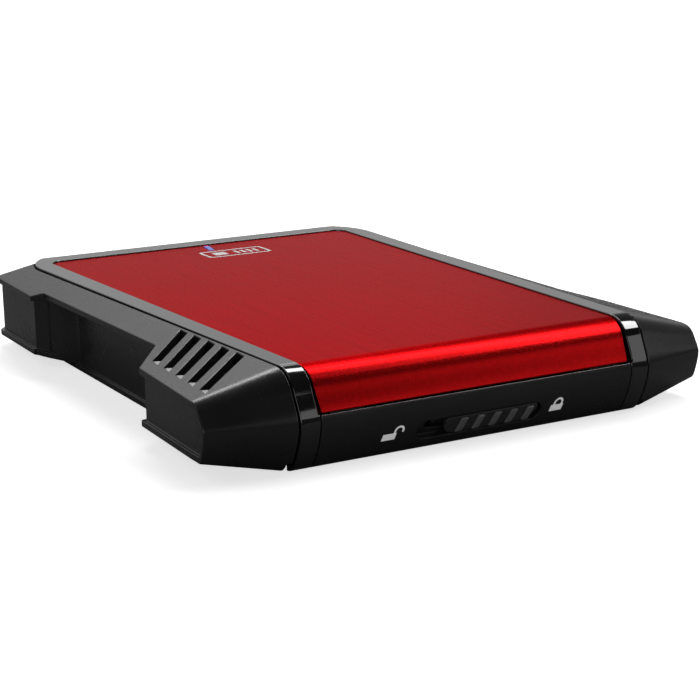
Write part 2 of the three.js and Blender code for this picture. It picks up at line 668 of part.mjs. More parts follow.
function caseBottom() {
  const half = DRIVE.width / 2;
  const lidZ = driveTopZ() - DRIVE.wall;
  const outer = box([-half, driveFrontY(), DRIVE.baseZ], [half, DRIVE.backY, lidZ]);
  const inner = box(
    [-half + DRIVE.wall, driveFrontY() + DRIVE.wall, DRIVE.baseZ + DRIVE.wall],
    [half - DRIVE.wall, DRIVE.backY - DRIVE.wall, 20],
  );
  const mouth = box([PLUG.x - PLUG.half, 40, PLUG.lowZ], [PLUG.x + PLUG.half, 60, PLUG.highZ]);
  const posts = caseScrews().map(([x, y]) => cylinderZ(x, y, 2.2, DRIVE.baseZ + 0.5, lidZ));
  const holes = caseScrews().map(([x, y]) => cylinderZ(x, y, 1.15, DRIVE.baseZ + 2, 20));
  const sideHoles = [-half, half].flatMap((x) => [sideScrewHole(x, -40.4), sideScrewHole(x, 36.2)]);
  const shell = posts.reduce((all, post) => all.add(post), outer.subtract(inner));
  return [mouth, ...holes, ...sideHoles].reduce((all, cut) => all.subtract(cut), shell);
}

// A mounting hole in the drive's side wall.
function sideScrewHole(x, y) {
  const geometry = new THREE.CylinderGeometry(1.3, 1.3, 1.4, 16).rotateZ(Math.PI / 2);
  return solidFrom(geometry.translate(x, y, DRIVE.baseZ + 3));
}

const caseScrews = () => {
  const x = DRIVE.width / 2 - 3.6;
  return [[-x, driveFrontY() + 3.6], [x, driveFrontY() + 3.6], [-x, 40], [x, 40]];
};

function caseLid() {
  const half = DRIVE.width / 2;
  const plate = box([-half, driveFrontY(), driveTopZ() - DRIVE.wall], [half, DRIVE.backY, driveTopZ()]);
  const holes = caseScrews().map(([x, y]) => {
    const headRoom = cylinderZ(x, y, 2.1, driveTopZ() - 0.6, 20);
    return headRoom.add(cylinderZ(x, y, 1.15, 5, 20));
  });
  return holes.reduce((all, hole) => all.subtract(hole), plate);
}

function caseScrew() {
  return panScrew(1.7, 0.5, 0.8, 3.4);
}

function ssdBoard() {
  const half = DRIVE.width / 2 - DRIVE.wall - 0.6;
  const plan = box([-half, -14, 5.7], [half, 42.6, 6.7]);
  const reach = 2.7;
  const notch = box([DRIVE.width / 2 - 3.6 - reach, 40 - reach, 4], [40, 50, 9]);
  return plan.subtract(notch).subtract(mirrored(notch));
}

function sataPlug() {
  const rootFrontY = DRIVE.backY - PLUG.depth;
  const side = PLUG.half - 0.3;
  const root = box([PLUG.x - side, rootFrontY, 5.2], [PLUG.x + side, rootFrontY + 1.1, 9]);
  const blades = bladeSpans().map(([low, high]) =>
    box([low, rootFrontY + 0.7, BLADE.lowZ], [high, DRIVE.backY - 0.6, BLADE.lowZ + BLADE.thickness]),
  );
  return blades.reduce((all, blade) => all.add(blade), root);
}

// ---------------------------------------------------------------- small parts
// A chip package with a chamfered pin-one corner, standing on z = 0 at its own centre.
function chip(width, length, height) {
  const cut = Math.min(width, length) * 0.12;
  const [x, y] = [width / 2, length / 2];
  const corners = [point(-x, -y), point(x, -y), point(x, y), point(-x + cut, y), point(-x, y - cut)];
  return prismZ(corners, 0, height);
}

function roundedBlock(width, length, height, radius) {
  const [x, y] = [width / 2 - radius, length / 2 - radius];
  const quarter = Math.PI / 2;
  const corners = [[x, y], [-x, y], [-x, -y], [x, -y]];
  const plan = corners.flatMap(([cx, cy], i) => {
    const curve = new THREE.EllipseCurve(cx, cy, radius, radius, i * quarter, (i + 1) * quarter);
    return curve.getPoints(5);
  });
  return prismZ(plan, 0, height);
}

// ---------------------------------------------------------------- scene graph
function finish(color, roughness, metalness = 0) {
  return new THREE.MeshStandardMaterial({ color, roughness, metalness });
}

const FINISHES = {
  redMetal: finish(0xa8242c, 0.35, 0.8),
  glossBlack: finish(0x141414, 0.15),
  fasciaBlack: finish(0x202020, 0.35),
  mattBlack: finish(0x3a3a3a, 0.6),
  floorBlack: finish(0x1c1c1c, 0.7),
  steel: finish(0xb8b8b8, 0.35, 1),
  darkMetal: finish(0x4a4d52, 0.4, 0.9),
  board: finish(0x1d5c38, 0.5),
  ssdBoard: finish(0x123d5c, 0.5),
  chip: finish(0x17181a, 0.55),
  connector: finish(0x101010, 0.5),
  light: finish(0x3a50ff, 0.1),
  foam: finish(0x2a2a2c, 0.95),
  pad: finish(0x8f9aa6, 0.8),
  label: finish(0xd8d8d4, 0.6),
};

const UPSIDE_DOWN = [Math.PI, 0, 0];

function addPiece(group, name, solid, material, place = [0, 0, 0], turn = [0, 0, 0]) {
  const mesh = new THREE.Mesh(geometryFrom(solid), material);
  mesh.name = name;
  mesh.position.set(...place);
  mesh.rotation.set(...turn);
  group.add(mesh);
}

function buildBase() {
  const base = new THREE.Group();
  const top = boardTop();
  addPiece(base, "outer_housing", outerHousing(), FINISHES.mattBlack);
  addPiece(base, "bottom_plate", bottomPlate(), FINISHES.floorBlack);
  addPiece(base, "bridge_board", bridgeBoard(), FINISHES.board);
  addPiece(base, "bridge_chip", chip(6, 4.4, 0.9), FINISHES.chip, [-6, 54.7, top]);
  addPiece(base, "firmware_chip", chip(4, 3, 0.9), FINISHES.chip, [-14.5, 54.7, top]);
  addPiece(base, "clock_crystal", roundedBlock(3.2, 2.5, 0.8, 0.3), FINISHES.steel, [5.6, 54.7, top]);
  addPiece(base, "power_inductor", roundedBlock(3.8, 3.8, 2, 0.5), FINISHES.darkMetal, [-20.6, 54.6, top]);
  addPiece(base, "status_led", roundedBlock(1.6, 1.4, 0.8, 0.2), FINISHES.light, [LED.x, 53.4, top]);
  addPiece(base, "usb_socket_shell", usbSocketShell(), FINISHES.steel);
  addPiece(base, "usb_socket_tongue", usbSocketTongue(), FINISHES.connector);
  addPiece(base, "sata_receptacle", sataReceptacle(), FINISHES.connector);
  const side = (x) => (x < 0 ? "left" : "right");
  for (const x of BOARD_SCREW.x) {
    const screw = panScrew(1.6, 0.8, 0.7, 2.6);
    addPiece(base, "board_screw_" + side(x), screw, FINISHES.steel, [x, BOARD_SCREW.y, top]);
  }
  for (const x of FLOOR_SCREW.x) {
    const screw = panScrew(1.7, 0.6, 0.75, 3);
    addPiece(base, "floor_screw_" + side(x), screw, FINISHES.steel, [x, FLOOR_SCREW.y, 0.75], UPSIDE_DOWN);
  }
  return base;
}

function buildCover() {
  const cover = new THREE.Group();
  addPiece(cover, "cover_frame", coverFrame(), FINISHES.glossBlack);
  addPiece(cover, "red_top_plate", topPlate(), FINISHES.redMetal);
  addPiece(cover, "front_fascia", frontFascia(), FINISHES.fasciaBlack);
  addPiece(cover, "led_light_pipe", ledLightPipe(), FINISHES.light);
  addPiece(cover, "lock_spring", lockSpring(), FINISHES.steel);
  const padBase = 11.3;
  const padTop = HEIGHT - COVER.thickness;
  const pad = roundedBlock(14, 62, padTop - padBase, 1.5);
  for (const [name, x] of [["left", -20], ["right", 20]]) {
    addPiece(cover, "foam_pad_" + name, pad, FINISHES.foam, [x, -4, padBase]);
    const screwX = FRAME_POST.x[x < 0 ? 0 : 1];
    const screw = panScrew(1.8, 0.7, 0.7, 4);
    addPiece(cover, "fascia_screw_" + name, screw, FINISHES.steel, [screwX, FRAME_POST.y, 9.55], UPSIDE_DOWN);
  }
  return cover;
}

function buildLock() {
  const lock = new THREE.Group();
  addPiece(lock, "lock_button", lockButton(), FINISHES.fasciaBlack);
  addPiece(lock, "lock_bar", lockBar(), FINISHES.steel);
  return lock;
}

function buildDrive() {
  const drive = new THREE.Group();
  const boardTopZ = 6.7;
  addPiece(drive, "ssd_case_bottom", caseBottom(), FINISHES.darkMetal);
  addPiece(drive, "ssd_case_lid", caseLid(), FINISHES.darkMetal);
  addPiece(drive, "ssd_board", ssdBoard(), FINISHES.ssdBoard);
  addPiece(drive, "ssd_controller", chip(14, 14, 1.2), FINISHES.chip, [0, 28, boardTopZ]);
  addPiece(drive, "ssd_memory_buffer", chip(9, 13, 1), FINISHES.chip, [-18, 28, boardTopZ]);
  addPiece(drive, "thermal_pad", roundedBlock(13, 13, 1.5, 1), FINISHES.pad, [0, 28, boardTopZ + 1.3]);
  [-23.4, -8, 7.4, 22.8].forEach((x, i) => {
    addPiece(drive, "flash_chip_" + (i + 1), chip(12, 18, 1), FINISHES.chip, [x, 2, boardTopZ]);
  });
  addPiece(drive, "sata_plug", sataPlug(), FINISHES.connector);
  addPiece(drive, "ssd_label", roundedBlock(54, 72, 0.15, 1.5), FINISHES.label, [0, -3, driveTopZ()]);
  caseScrews().forEach(([x, y], i) => {
    addPiece(drive, "case_screw_" + (i + 1), caseScrew(), FINISHES.steel, [x, y, driveTopZ() - 0.55]);
  });
  return drive;
}

const drive = new THREE.Group();
drive.add(buildBase(), buildCover(), buildLock(), buildDrive());
export default drive;
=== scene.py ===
"""Looks of an external solid state drive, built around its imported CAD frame.

Shapes are worked out in millimetres and scaled to metres when a piece is finished. The cover's
pieces are drawn flat, as (x, distance along the cover's side view, height over its outside), bevelled,
and then wrapped round the side view.
"""

import json
import math

import bmesh
import bpy
from mathutils import Matrix, Vector


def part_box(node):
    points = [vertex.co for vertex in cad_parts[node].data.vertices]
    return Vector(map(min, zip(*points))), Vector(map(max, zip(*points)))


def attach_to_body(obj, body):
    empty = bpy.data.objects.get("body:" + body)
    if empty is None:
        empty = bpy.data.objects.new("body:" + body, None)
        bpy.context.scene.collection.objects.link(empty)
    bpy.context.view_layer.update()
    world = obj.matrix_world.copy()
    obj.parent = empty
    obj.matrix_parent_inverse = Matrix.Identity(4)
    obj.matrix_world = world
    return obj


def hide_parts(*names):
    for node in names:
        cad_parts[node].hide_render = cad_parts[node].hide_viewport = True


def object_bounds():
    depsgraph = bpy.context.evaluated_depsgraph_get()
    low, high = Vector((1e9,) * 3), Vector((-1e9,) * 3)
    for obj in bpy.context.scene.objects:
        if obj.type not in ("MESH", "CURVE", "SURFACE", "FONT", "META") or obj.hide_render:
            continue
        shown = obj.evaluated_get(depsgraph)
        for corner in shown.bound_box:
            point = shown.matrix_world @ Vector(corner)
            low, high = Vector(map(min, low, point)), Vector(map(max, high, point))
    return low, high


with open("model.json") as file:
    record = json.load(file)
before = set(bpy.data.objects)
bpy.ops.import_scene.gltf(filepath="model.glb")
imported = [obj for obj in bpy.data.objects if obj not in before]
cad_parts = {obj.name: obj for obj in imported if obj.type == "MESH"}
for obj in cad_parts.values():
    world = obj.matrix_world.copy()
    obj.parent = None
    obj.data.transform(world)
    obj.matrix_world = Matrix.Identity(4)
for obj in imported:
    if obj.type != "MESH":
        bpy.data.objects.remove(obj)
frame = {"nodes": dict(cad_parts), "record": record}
cad_low, cad_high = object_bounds()

# ---------------------------------------------------------------- sizes, in millimetres
MM = 0.001
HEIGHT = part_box("cover_frame")[1].z / MM
NOSE_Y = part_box("cover_frame")[0].y / MM
WALL_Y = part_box("cover_frame")[1].y / MM
GAP = 0.15
CLEARANCE = 0.3

COVER = {"top_y": -53.6, "nose_y": NOSE_Y, "nose_z": 8.6, "foot_y": -55.9}
BACK = {"top_y": 56.2, "wall_y": WALL_Y, "rise": 5.0, "foot_y": 56.6, "wall_foot_z": 8.0}
LIP_Z = 8.2
COVER_THICKNESS = 1.8
COVER_HALF = {"middle": 37.6, "taper": 0.0435, "corner": 14.5, "back_y": WALL_Y}
LIP_HALF = 26.0
LEDGE = {"inner_x": 35.3, "low_z": 14.0, "high_z": 15.4}
PLATE_HALF = {"middle": 33.6, "taper": 0.0344, "corner": 2.5, "back_y": 51.9}
PLATE = {"front_z": 10.3, "sink": 0.3, "thickness": 0.7, "narrowing": 0.7}
FASCIA_HALF = 31.2
LED = {"x": 0.3, "front_y": 45.9, "back_y": 51.3, "half": 0.65, "lean": 0.5}
LOCK = {"track_half": 12.6, "low_z": 2.3, "high_z": 5.8, "depth": 1.2}
BUTTON = {"left": -7.2, "right": 12.3, "proud": 0.35, "ribs": 5}
SYMBOL_PROUD = 0.03

WING = {"root_x": 25.0, "inner_z": 17.44, "outer_x": 50.2, "outer_z": 13.27, "sheet": 2.0}
BUMPER = {"top_y": -51.9, "nose_y": -56.95, "nose_z": 8.7, "foot_y": -54.8}
BUMPER_FOOT_Z = 3.4
REAR_ROOT = dict(BACK, top_y=50.5)
REAR_END = {"top_y": 58.6, "wall_y": 61.0, "rise": 2.6, "foot_y": 56.0, "wall_foot_z": 8.0}
VENT = {"count": 5, "pitch": 5.2, "first_y": -22.2, "half": 1.4, "outer": (46.6, -28.9), "drift": 0.18}
VENT_END = (-0.9, -1.6)
VENT_TIP = (0.3, -2.9)
RAMP_DEPTH = 0.3
USB = {"x": 18.0, "half": 6.1, "low_z": 3.6, "height": 3.0}

UPPER_ROLL = [(1, 1), (0.63, 1), (0.41, 0.865), (0.276, 0.607), (0.158, 0.371), (0, 0.18), (0, 0)]
LOWER_ROLL = [(0, 1), (0, 0.767), (0.302, 0.372), (0.547, 0.14), (0.679, 0.047), (0.83, 0), (1, 0)]
ROLL_STEPS = 12
ARC_STEPS = 12


# ---------------------------------------------------------------- side-view curves
def bezier(a, b, c, d):
    points = []
    for i in range(ROLL_STEPS + 1):
        t = i / ROLL_STEPS
        weights = ((1 - t) ** 3, 3 * t * (1 - t) ** 2, 3 * t * t * (1 - t), t**3)
        points.append(tuple(sum(w * p[k] for w, p in zip(weights, (a, b, c, d))) for k in (0, 1)))
    return points


def roll(shares, place):
    knots = [place(u, v) for u, v in shares]
    return bezier(*knots[:4]) + bezier(*knots[3:])[1:]


def front_curve(top_y, top_z, nose_y, nose_z, foot_y, foot_z):
    upper = roll(UPPER_ROLL, lambda u, v: (nose_y + u * (top_y - nose_y), nose_z + v * (top_z - nose_z)))
    lower = roll(LOWER_ROLL, lambda u, v: (nose_y + u * (foot_y - nose_y), foot_z + v * (nose_z - foot_z)))
    return upper + lower[1:]


def arc(centre_y, centre_z, radius, first=0.0, last=math.pi / 2, steps=ARC_STEPS):
    angles = [first + (last - first) * i / steps for i in range(steps + 1)]
    return [(centre_y + radius * math.cos(a), centre_z + radius * math.sin(a)) for a in angles]


def back_curve(top_y, top_z, wall_y, rise, foot_y, foot_z, wall_foot_z):
    wall_height = wall_foot_z - foot_z
    lower = roll(LOWER_ROLL, lambda u, v: (wall_y + u * (foot_y - wall_y), foot_z + v * wall_height))
    edge = [(top_y + c * (wall_y - top_y), top_z - rise + s * rise) for c, s in arc(0, 0, 1)]
    return lower[::-1] + edge


class SideView:
    """The cover's side view as stations (y, z) by distance, from the lip at the back to the foot."""

    def __init__(self):
        radius = BACK["wall_y"] - BACK["top_y"]
        lip = [(BACK["wall_y"], LIP_Z)]
        self.points = lip + arc(BACK["top_y"], HEIGHT - radius, radius)
        self.front_start = len(self.points)
        self.points += front_curve(top_z=HEIGHT, foot_z=0.0, **COVER)
        self.distances = [0.0]
        for (y0, z0), (y1, z1) in zip(self.points, self.points[1:]):
            self.distances.append(self.distances[-1] + math.hypot(y1 - y0, z1 - z0))
        self.length = self.distances[-1]
        self.normals = [self._normal(i) for i in range(len(self.points))]

    def _normal(self, i):
        total = Vector((0.0, 0.0))
        for a, b in ((i - 1, i), (i, i + 1)):
            if a >= 0 and b < len(self.points):
                along = Vector(self.points[b]) - Vector(self.points[a])
                total += Vector((along.y, -along.x)).normalized()
        return total.normalized()

    def place(self, x, s, height):
        s = min(max(s, 0.0), self.length)
        i = 1
        while i < len(self.points) - 1 and self.distances[i] < s:
            i += 1
        share = (s - self.distances[i - 1]) / (self.distances[i] - self.distances[i - 1])
        spot = Vector(self.points[i - 1]).lerp(Vector(self.points[i]), share)
        normal = self.normals[i - 1].lerp(self.normals[i], share).normalized()
        spot += normal * height
        return Vector((x, spot.x, spot.y))

    def y_at(self, s):
        return self.place(0, s, 0).y

    def on_top(self, y):
        """Distance of a place on the flat top."""
        return self.distances[self.front_start] - (y - self.points[self.front_start][0])

    def on_back(self, z):
        """Distance of a height on the round edge at the back."""
        radius = BACK["wall_y"] - BACK["top_y"]
        return HEIGHT - radius - LIP_Z + radius * math.asin((z - HEIGHT + radius) / radius)

    def on_front(self, z):
        """Distance of a height on the front."""
        for i in range(self.front_start + 1, len(self.points)):
            high, low = self.points[i - 1][1], self.points[i][1]
            if low <= z <= high and high > low:
                share = (high - z) / (high - low)
                return self.distances[i - 1] + share * (self.distances[i] - self.distances[i - 1])
        return self.length


side_view = SideView()


# ---------------------------------------------------------------- mesh helpers
def new_object(name, bm):
    bmesh.ops.recalc_face_normals(bm, faces=bm.faces)
    mesh = bpy.data.meshes.new(name)
    bm.to_mesh(mesh)
    bm.free()
    obj = bpy.data.objects.new(name, mesh)
    bpy.context.scene.collection.objects.link(obj)
    return obj


TURNS = {
    "x": lambda a, b, t: (t, a, b),
    "y": lambda a, b, t: (a, t, b),
    "z": lambda a, b, t: (a, b, t),
}


def prism(outline, low, high, axis="z"):
    """A flat outline carried from low to high along an axis."""
    turn = TURNS[axis]
    bm = bmesh.new()
    rings = [[bm.verts.new(turn(a, b, t)) for a, b in outline] for t in (low, high)]
    bm.faces.new(rings[0])
    bm.faces.new(rings[1][::-1])
    count = len(outline)
    for i in range(count):
        j = (i + 1) % count
        bm.faces.new((rings[0][i], rings[0][j], rings[1][j], rings[1][i]))
    return new_object("prism", bm)


def block(low, high):
    outline = [(low[0], low[1]), (high[0], low[1]), (high[0], high[1]), (low[0], high[1])]
    return prism(outline, low[2], high[2])


def loft(sections, slices):
    """A body through closed 3-D sections with as many points each, in slices between them."""
    bm = bmesh.new()
    rings = []
    for first, last in zip(sections, sections[1:]):
        for k in range(slices):
            rings.append([Vector(a).lerp(Vector(b), k / slices) for a, b in zip(first, last)])
    rings.append([Vector(p) for p in sections[-1]])
    rings = [[bm.verts.new(p) for p in ring] for ring in rings]
    bm.faces.new(rings[0])
    bm.faces.new(rings[-1][::-1])
    count = len(rings[0])
    for low, high in zip(rings, rings[1:]):
        for i in range(count):
            j = (i + 1) % count
            bm.faces.new((low[i], low[j], high[j], high[i]))
    return new_object("loft", bm)


def bake(obj):
    """Replaces an object's mesh with the result of its modifiers."""
    graph = bpy.context.evaluated_depsgraph_get()
    mesh = bpy.data.meshes.new_from_object(obj.evaluated_get(graph))
    obj.modifiers.clear()
    obj.data = mesh
    return obj


def combine(target, tools, operation, solver="MANIFOLD"):
    for tool in tools:
        modifier = target.modifiers.new("combine", "BOOLEAN")
        modifier.operation = operation
        modifier.solver = solver
        modifier.object = tool
        bake(target)
        bpy.data.objects.remove(tool)
    return target


def cut(target, *tools):
    return combine(target, tools, "DIFFERENCE")


def join(target, *tools):
    return combine(target, tools, "UNION")


def common(target, *tools):
    return combine(target, tools, "INTERSECT")


def clean(obj, merge=0.004, flat=0.2):
    bm = bmesh.new()
    bm.from_mesh(obj.data)
    bmesh.ops.remove_doubles(bm, verts=bm.verts, dist=merge)
    bmesh.ops.dissolve_degenerate(bm, edges=bm.edges, dist=merge)
    bmesh.ops.dissolve_limit(bm, angle_limit=math.radians(flat), verts=bm.verts, edges=bm.edges)
    bm.to_mesh(obj.data)
    bm.free()
    return obj


def bevel(obj, width, segments=3, angle=35):
    modifier = obj.modifiers.new("bevel", "BEVEL")
    modifier.width = width
    modifier.segments = segments
    modifier.limit_method = "ANGLE"
    modifier.angle_limit = math.radians(angle)
    modifier.use_clamp_overlap = False
    modifier.miter_outer = "MITER_ARC"
    return bake(obj)


def mirror_copy(obj):
    twin = obj.copy()
    twin.data = obj.data.copy()
    twin.data.transform(Matrix.Scale(-1, 4, Vector((1, 0, 0))))
    twin.data.flip_normals()
    bpy.context.scene.collection.objects.link(twin)
    return twin


def wrap(obj):
    """Bends a flat piece round the side view, with a cut across it at every station."""
    bm = bmesh.new()
    bm.from_mesh(obj.data)
    for s in side_view.distances[1:-1]:
        geometry = bm.verts[:] + bm.edges[:] + bm.faces[:]
        bmesh.ops.bisect_plane(bm, geom=geometry, plane_co=(0, s, 0), plane_no=(0, 1, 0), dist=1e-4)
    for vertex in bm.verts:
        vertex.co = side_view.place(*vertex.co)
    bmesh.ops.recalc_face_normals(bm, faces=bm.faces)
    bm.to_mesh(obj.data)
    bm.free()
    return obj


def attach(obj, *parts):
    """Adds loose bodies to an object's mesh."""
    bm = bmesh.new()
    bm.from_mesh(obj.data)
    for part in parts:
        bm.from_mesh(part.data)
        bpy.data.objects.remove(part)
    bm.to_mesh(obj.data)
    bm.free()
    return obj


def complete(obj, name, body, material, replaces=(), smooth=40):
    """Scales a piece to metres, smooths it and hands it to its body."""
    obj.name = name
    obj.data.name = name
    obj.data.transform(Matrix.Scale(MM, 4))
    obj.data.shade_smooth()
    obj.data.set_sharp_from_angle(angle=math.radians(smooth))
    weighted = obj.modifiers.new("weighted_normals", "WEIGHTED_NORMAL")
    weighted.keep_sharp = True
    obj.data.materials.clear()
    obj.data.materials.append(material)
    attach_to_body(obj, body)
    if replaces:
        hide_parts(*replaces)
    return obj


# ---------------------------------------------------------------- materials
class Shader:
    """A small helper that builds a procedural material round one Principled shader."""

    def __init__(self, name, **inputs):
        self.material = bpy.data.materials.new(name)
        self.material.use_nodes = True
        self.nodes = self.material.node_tree.nodes
        self.links = self.material.node_tree.links
        self.bsdf = self.nodes["Principled BSDF"]
        for key, value in inputs.items():
            self.bsdf.inputs[key.replace("_", " ")].default_value = value
        self.coordinates = self.nodes.new("ShaderNodeTexCoord").outputs["Object"]

    def noise(self, scale, stretch=(1, 1, 1), detail=3.0, roughness=0.55):
        mapping = self.nodes.new("ShaderNodeMapping")
        mapping.inputs["Scale"].default_value = stretch
        self.links.new(self.coordinates, mapping.inputs["Vector"])
        noise = self.nodes.new("ShaderNodeTexNoise")
        noise.inputs["Scale"].default_value = scale
        noise.inputs["Detail"].default_value = detail
        noise.inputs["Roughness"].default_value = roughness
        self.links.new(mapping.outputs["Vector"], noise.inputs["Vector"])
        return noise.outputs["Fac"]

    def spread(self, value, low, high, from_low=0.3, from_high=0.7):
        spread = self.nodes.new("ShaderNodeMapRange")
        spread.inputs["From Min"].default_value = from_low
        spread.inputs["From Max"].default_value = from_high
        spread.inputs["To Min"].default_value = low
        spread.inputs["To Max"].default_value = high
        self.links.new(value, spread.inputs["Value"])
        return spread.outputs["Result"]

    def mix(self, factor, first, second):
        mix = self.nodes.new("ShaderNodeMix")
        mix.data_type = "RGBA"
        self.links.new(factor, mix.inputs["Factor"])
        for socket, colour in (("A", first), ("B", second)):
            target = [i for i in mix.inputs if i.name == socket and i.type == "RGBA"][0]
            if isinstance(colour, tuple):
                target.default_value = (*colour, 1.0)
            else:
                self.links.new(colour, target)
        return [o for o in mix.outputs if o.type == "RGBA"][0]

    def edge_mask(self, radius):
        """1 on convex and concave edges within the radius, and 0 on open faces."""
        bevel_node = self.nodes.new("ShaderNodeBevel")
        bevel_node.samples = 4
        bevel_node.inputs["Radius"].default_value = radius
        geometry = self.nodes.new("ShaderNodeNewGeometry")
        dot = self.nodes.new("ShaderNodeVectorMath")
        dot.operation = "DOT_PRODUCT"
        self.links.new(bevel_node.outputs["Normal"], dot.inputs[0])
        self.links.new(geometry.outputs["Normal"], dot.inputs[1])
        return self.spread(dot.outputs["Value"], 1.0, 0.0, 0.7, 0.99)

    def set(self, name, value):
        self.links.new(value, self.bsdf.inputs[name])

    def bump(self, height, distance, strength=1.0):
        bump = self.nodes.new("ShaderNodeBump")
        bump.inputs["Strength"].default_value = strength
        bump.inputs["Distance"].default_value = distance
        self.links.new(height, bump.inputs["Height"])
        self.links.new(bump.outputs["Normal"], self.bsdf.inputs["Normal"])


def moulded(name, colour, roughness, grain_scale, grain_depth, lift=1.35, specular=0.5):
    """Moulded plastic: a fine texture, slow colour and sheen changes, and paler worn edges."""
    s = Shader(name, Roughness=roughness)
    s.bsdf.inputs["Specular IOR Level"].default_value = specular
    slow = s.noise(45.0, detail=2.0)
    deep = tuple(c * 0.86 for c in colour)
    pale = tuple(min(1.0, c * 1.14) for c in colour)
    worn = tuple(min(1.0, c * lift + 0.004) for c in colour)
    base = s.mix(s.spread(slow, 0.0, 1.0), deep, pale)
    s.set("Base Color", s.mix(s.edge_mask(0.00035), base, worn))
    s.set("Roughness", s.spread(s.noise(160.0), roughness * 0.88, min(1.0, roughness * 1.12)))
    s.bump(s.noise(grain_scale, detail=4.0), grain_depth)
    return s.material


def polished(name, colour, roughness=0.07):
    """Polished plastic with the faint haze and hairline scratches of handling."""
    s = Shader(name, IOR=1.52)
    s.bsdf.inputs["Coat Weight"].default_value = 0.6
    s.bsdf.inputs["Coat Roughness"].default_value = 0.03
    pale = tuple(c * 1.8 + 0.002 for c in colour)
    s.set("Base Color", s.mix(s.spread(s.noise(30.0, detail=1.0), 0.0, 1.0), colour, pale))
    haze = s.noise(55.0, detail=5.0)
    s.set("Roughness", s.spread(haze, roughness * 0.7, roughness * 1.6))
    s.bump(s.noise(350.0, stretch=(1, 0.12, 1), detail=2.0), 5e-7, 0.6)
    return s.material


def brushed(
    name, colour, roughness, stretch, depth=1.2e-6, anisotropy=0.5, coarse=1.0, metallic=1.0, rim=(1, 1, 1)
):
    """Brushed metal: long fine strokes in the colour, the sheen and the relief."""
    s = Shader(name, Metallic=metallic)
    s.bsdf.inputs["Specular Tint"].default_value = (*rim, 1.0)
    strokes = s.noise(9000.0 * coarse, stretch=stretch, detail=4.0, roughness=0.7)
    broad = s.noise(1400.0 * coarse, stretch=stretch, detail=3.0)
    deep = tuple(c * 0.9 for c in colour)
    pale = tuple(min(1.0, c * 1.08) for c in colour)
    body = s.mix(s.spread(broad, 0.0, 1.0), deep, pale)
    edge = tuple(min(1.0, c * 1.2 + 0.03) for c in colour)
    s.set("Base Color", s.mix(s.edge_mask(0.0002), body, edge))
    s.set("Roughness", s.spread(strokes, roughness * 0.85, roughness * 1.2))
    s.bsdf.inputs["Anisotropic"].default_value = anisotropy
    s.bump(strokes, depth)
    return s.material


def solder_mask(name, colour):
    """A circuit board: lacquer over faint copper lanes."""
    s = Shader(name, Roughness=0.3)
    s.bsdf.inputs["Coat Weight"].default_value = 0.5
    lanes = s.noise(420.0, stretch=(1, 0.15, 1), detail=1.0)
    across = s.noise(420.0, stretch=(0.15, 1, 1), detail=1.0)
    both = s.mix(s.spread(lanes, 0.0, 1.0, 0.52, 0.56), colour, tuple(c * 1.7 for c in colour))
    s.set("Base Color", s.mix(s.spread(across, 0.0, 1.0, 0.56, 0.6), both, tuple(c * 2.1 for c in colour)))
    s.bump(lanes, 2e-5, 0.4)
    return s.material


def printed(name, colour, roughness=0.5, glow=0.0):
    """Screen-printed ink, a little uneven; its glow is painted light, an emission that makes the ink brighter
    than the lamps leave it.
    """
    s = Shader(name)
    tone = s.spread(s.noise(700.0, detail=3.0), 0.0, 1.0)
    ink = s.mix(tone, tuple(c * 0.88 for c in colour), colour)
    s.set("Base Color", ink)
    # painted light: the ink's own colour is given off as emission, as strong as the glow
    s.set("Emission Color", ink)
    s.bsdf.inputs["Emission Strength"].default_value = glow
    s.set("Roughness", s.spread(s.noise(300.0), roughness * 0.8, roughness * 1.2))
    s.bump(s.noise(2500.0), 3e-6)
    return s.material


def light_guide(name):
    """Clear acrylic, lit blue from below."""
    s = Shader(name, Roughness=0.08, IOR=1.49)
    s.bsdf.inputs["Transmission Weight"].default_value = 0.4
    glow = s.mix(s.spread(s.noise(900.0), 0.0, 1.0), (0.08, 0.12, 0.85), (0.2, 0.3, 1.0))
    s.set("Base Color", glow)
    s.set("Emission Color", glow)
    s.bsdf.inputs["Emission Strength"].default_value = 0.08
    return s.material


def foam(name):
    s = Shader(name, Roughness=0.95)
    cells = s.noise(1500.0, detail=5.0, roughness=0.8)
    s.set("Base Color", s.mix(s.spread(cells, 0.0, 1.0), (0.012, 0.012, 0.013), (0.055, 0.055, 0.058)))
    s.bump(cells, 2e-4, 0.8)
    return s.material


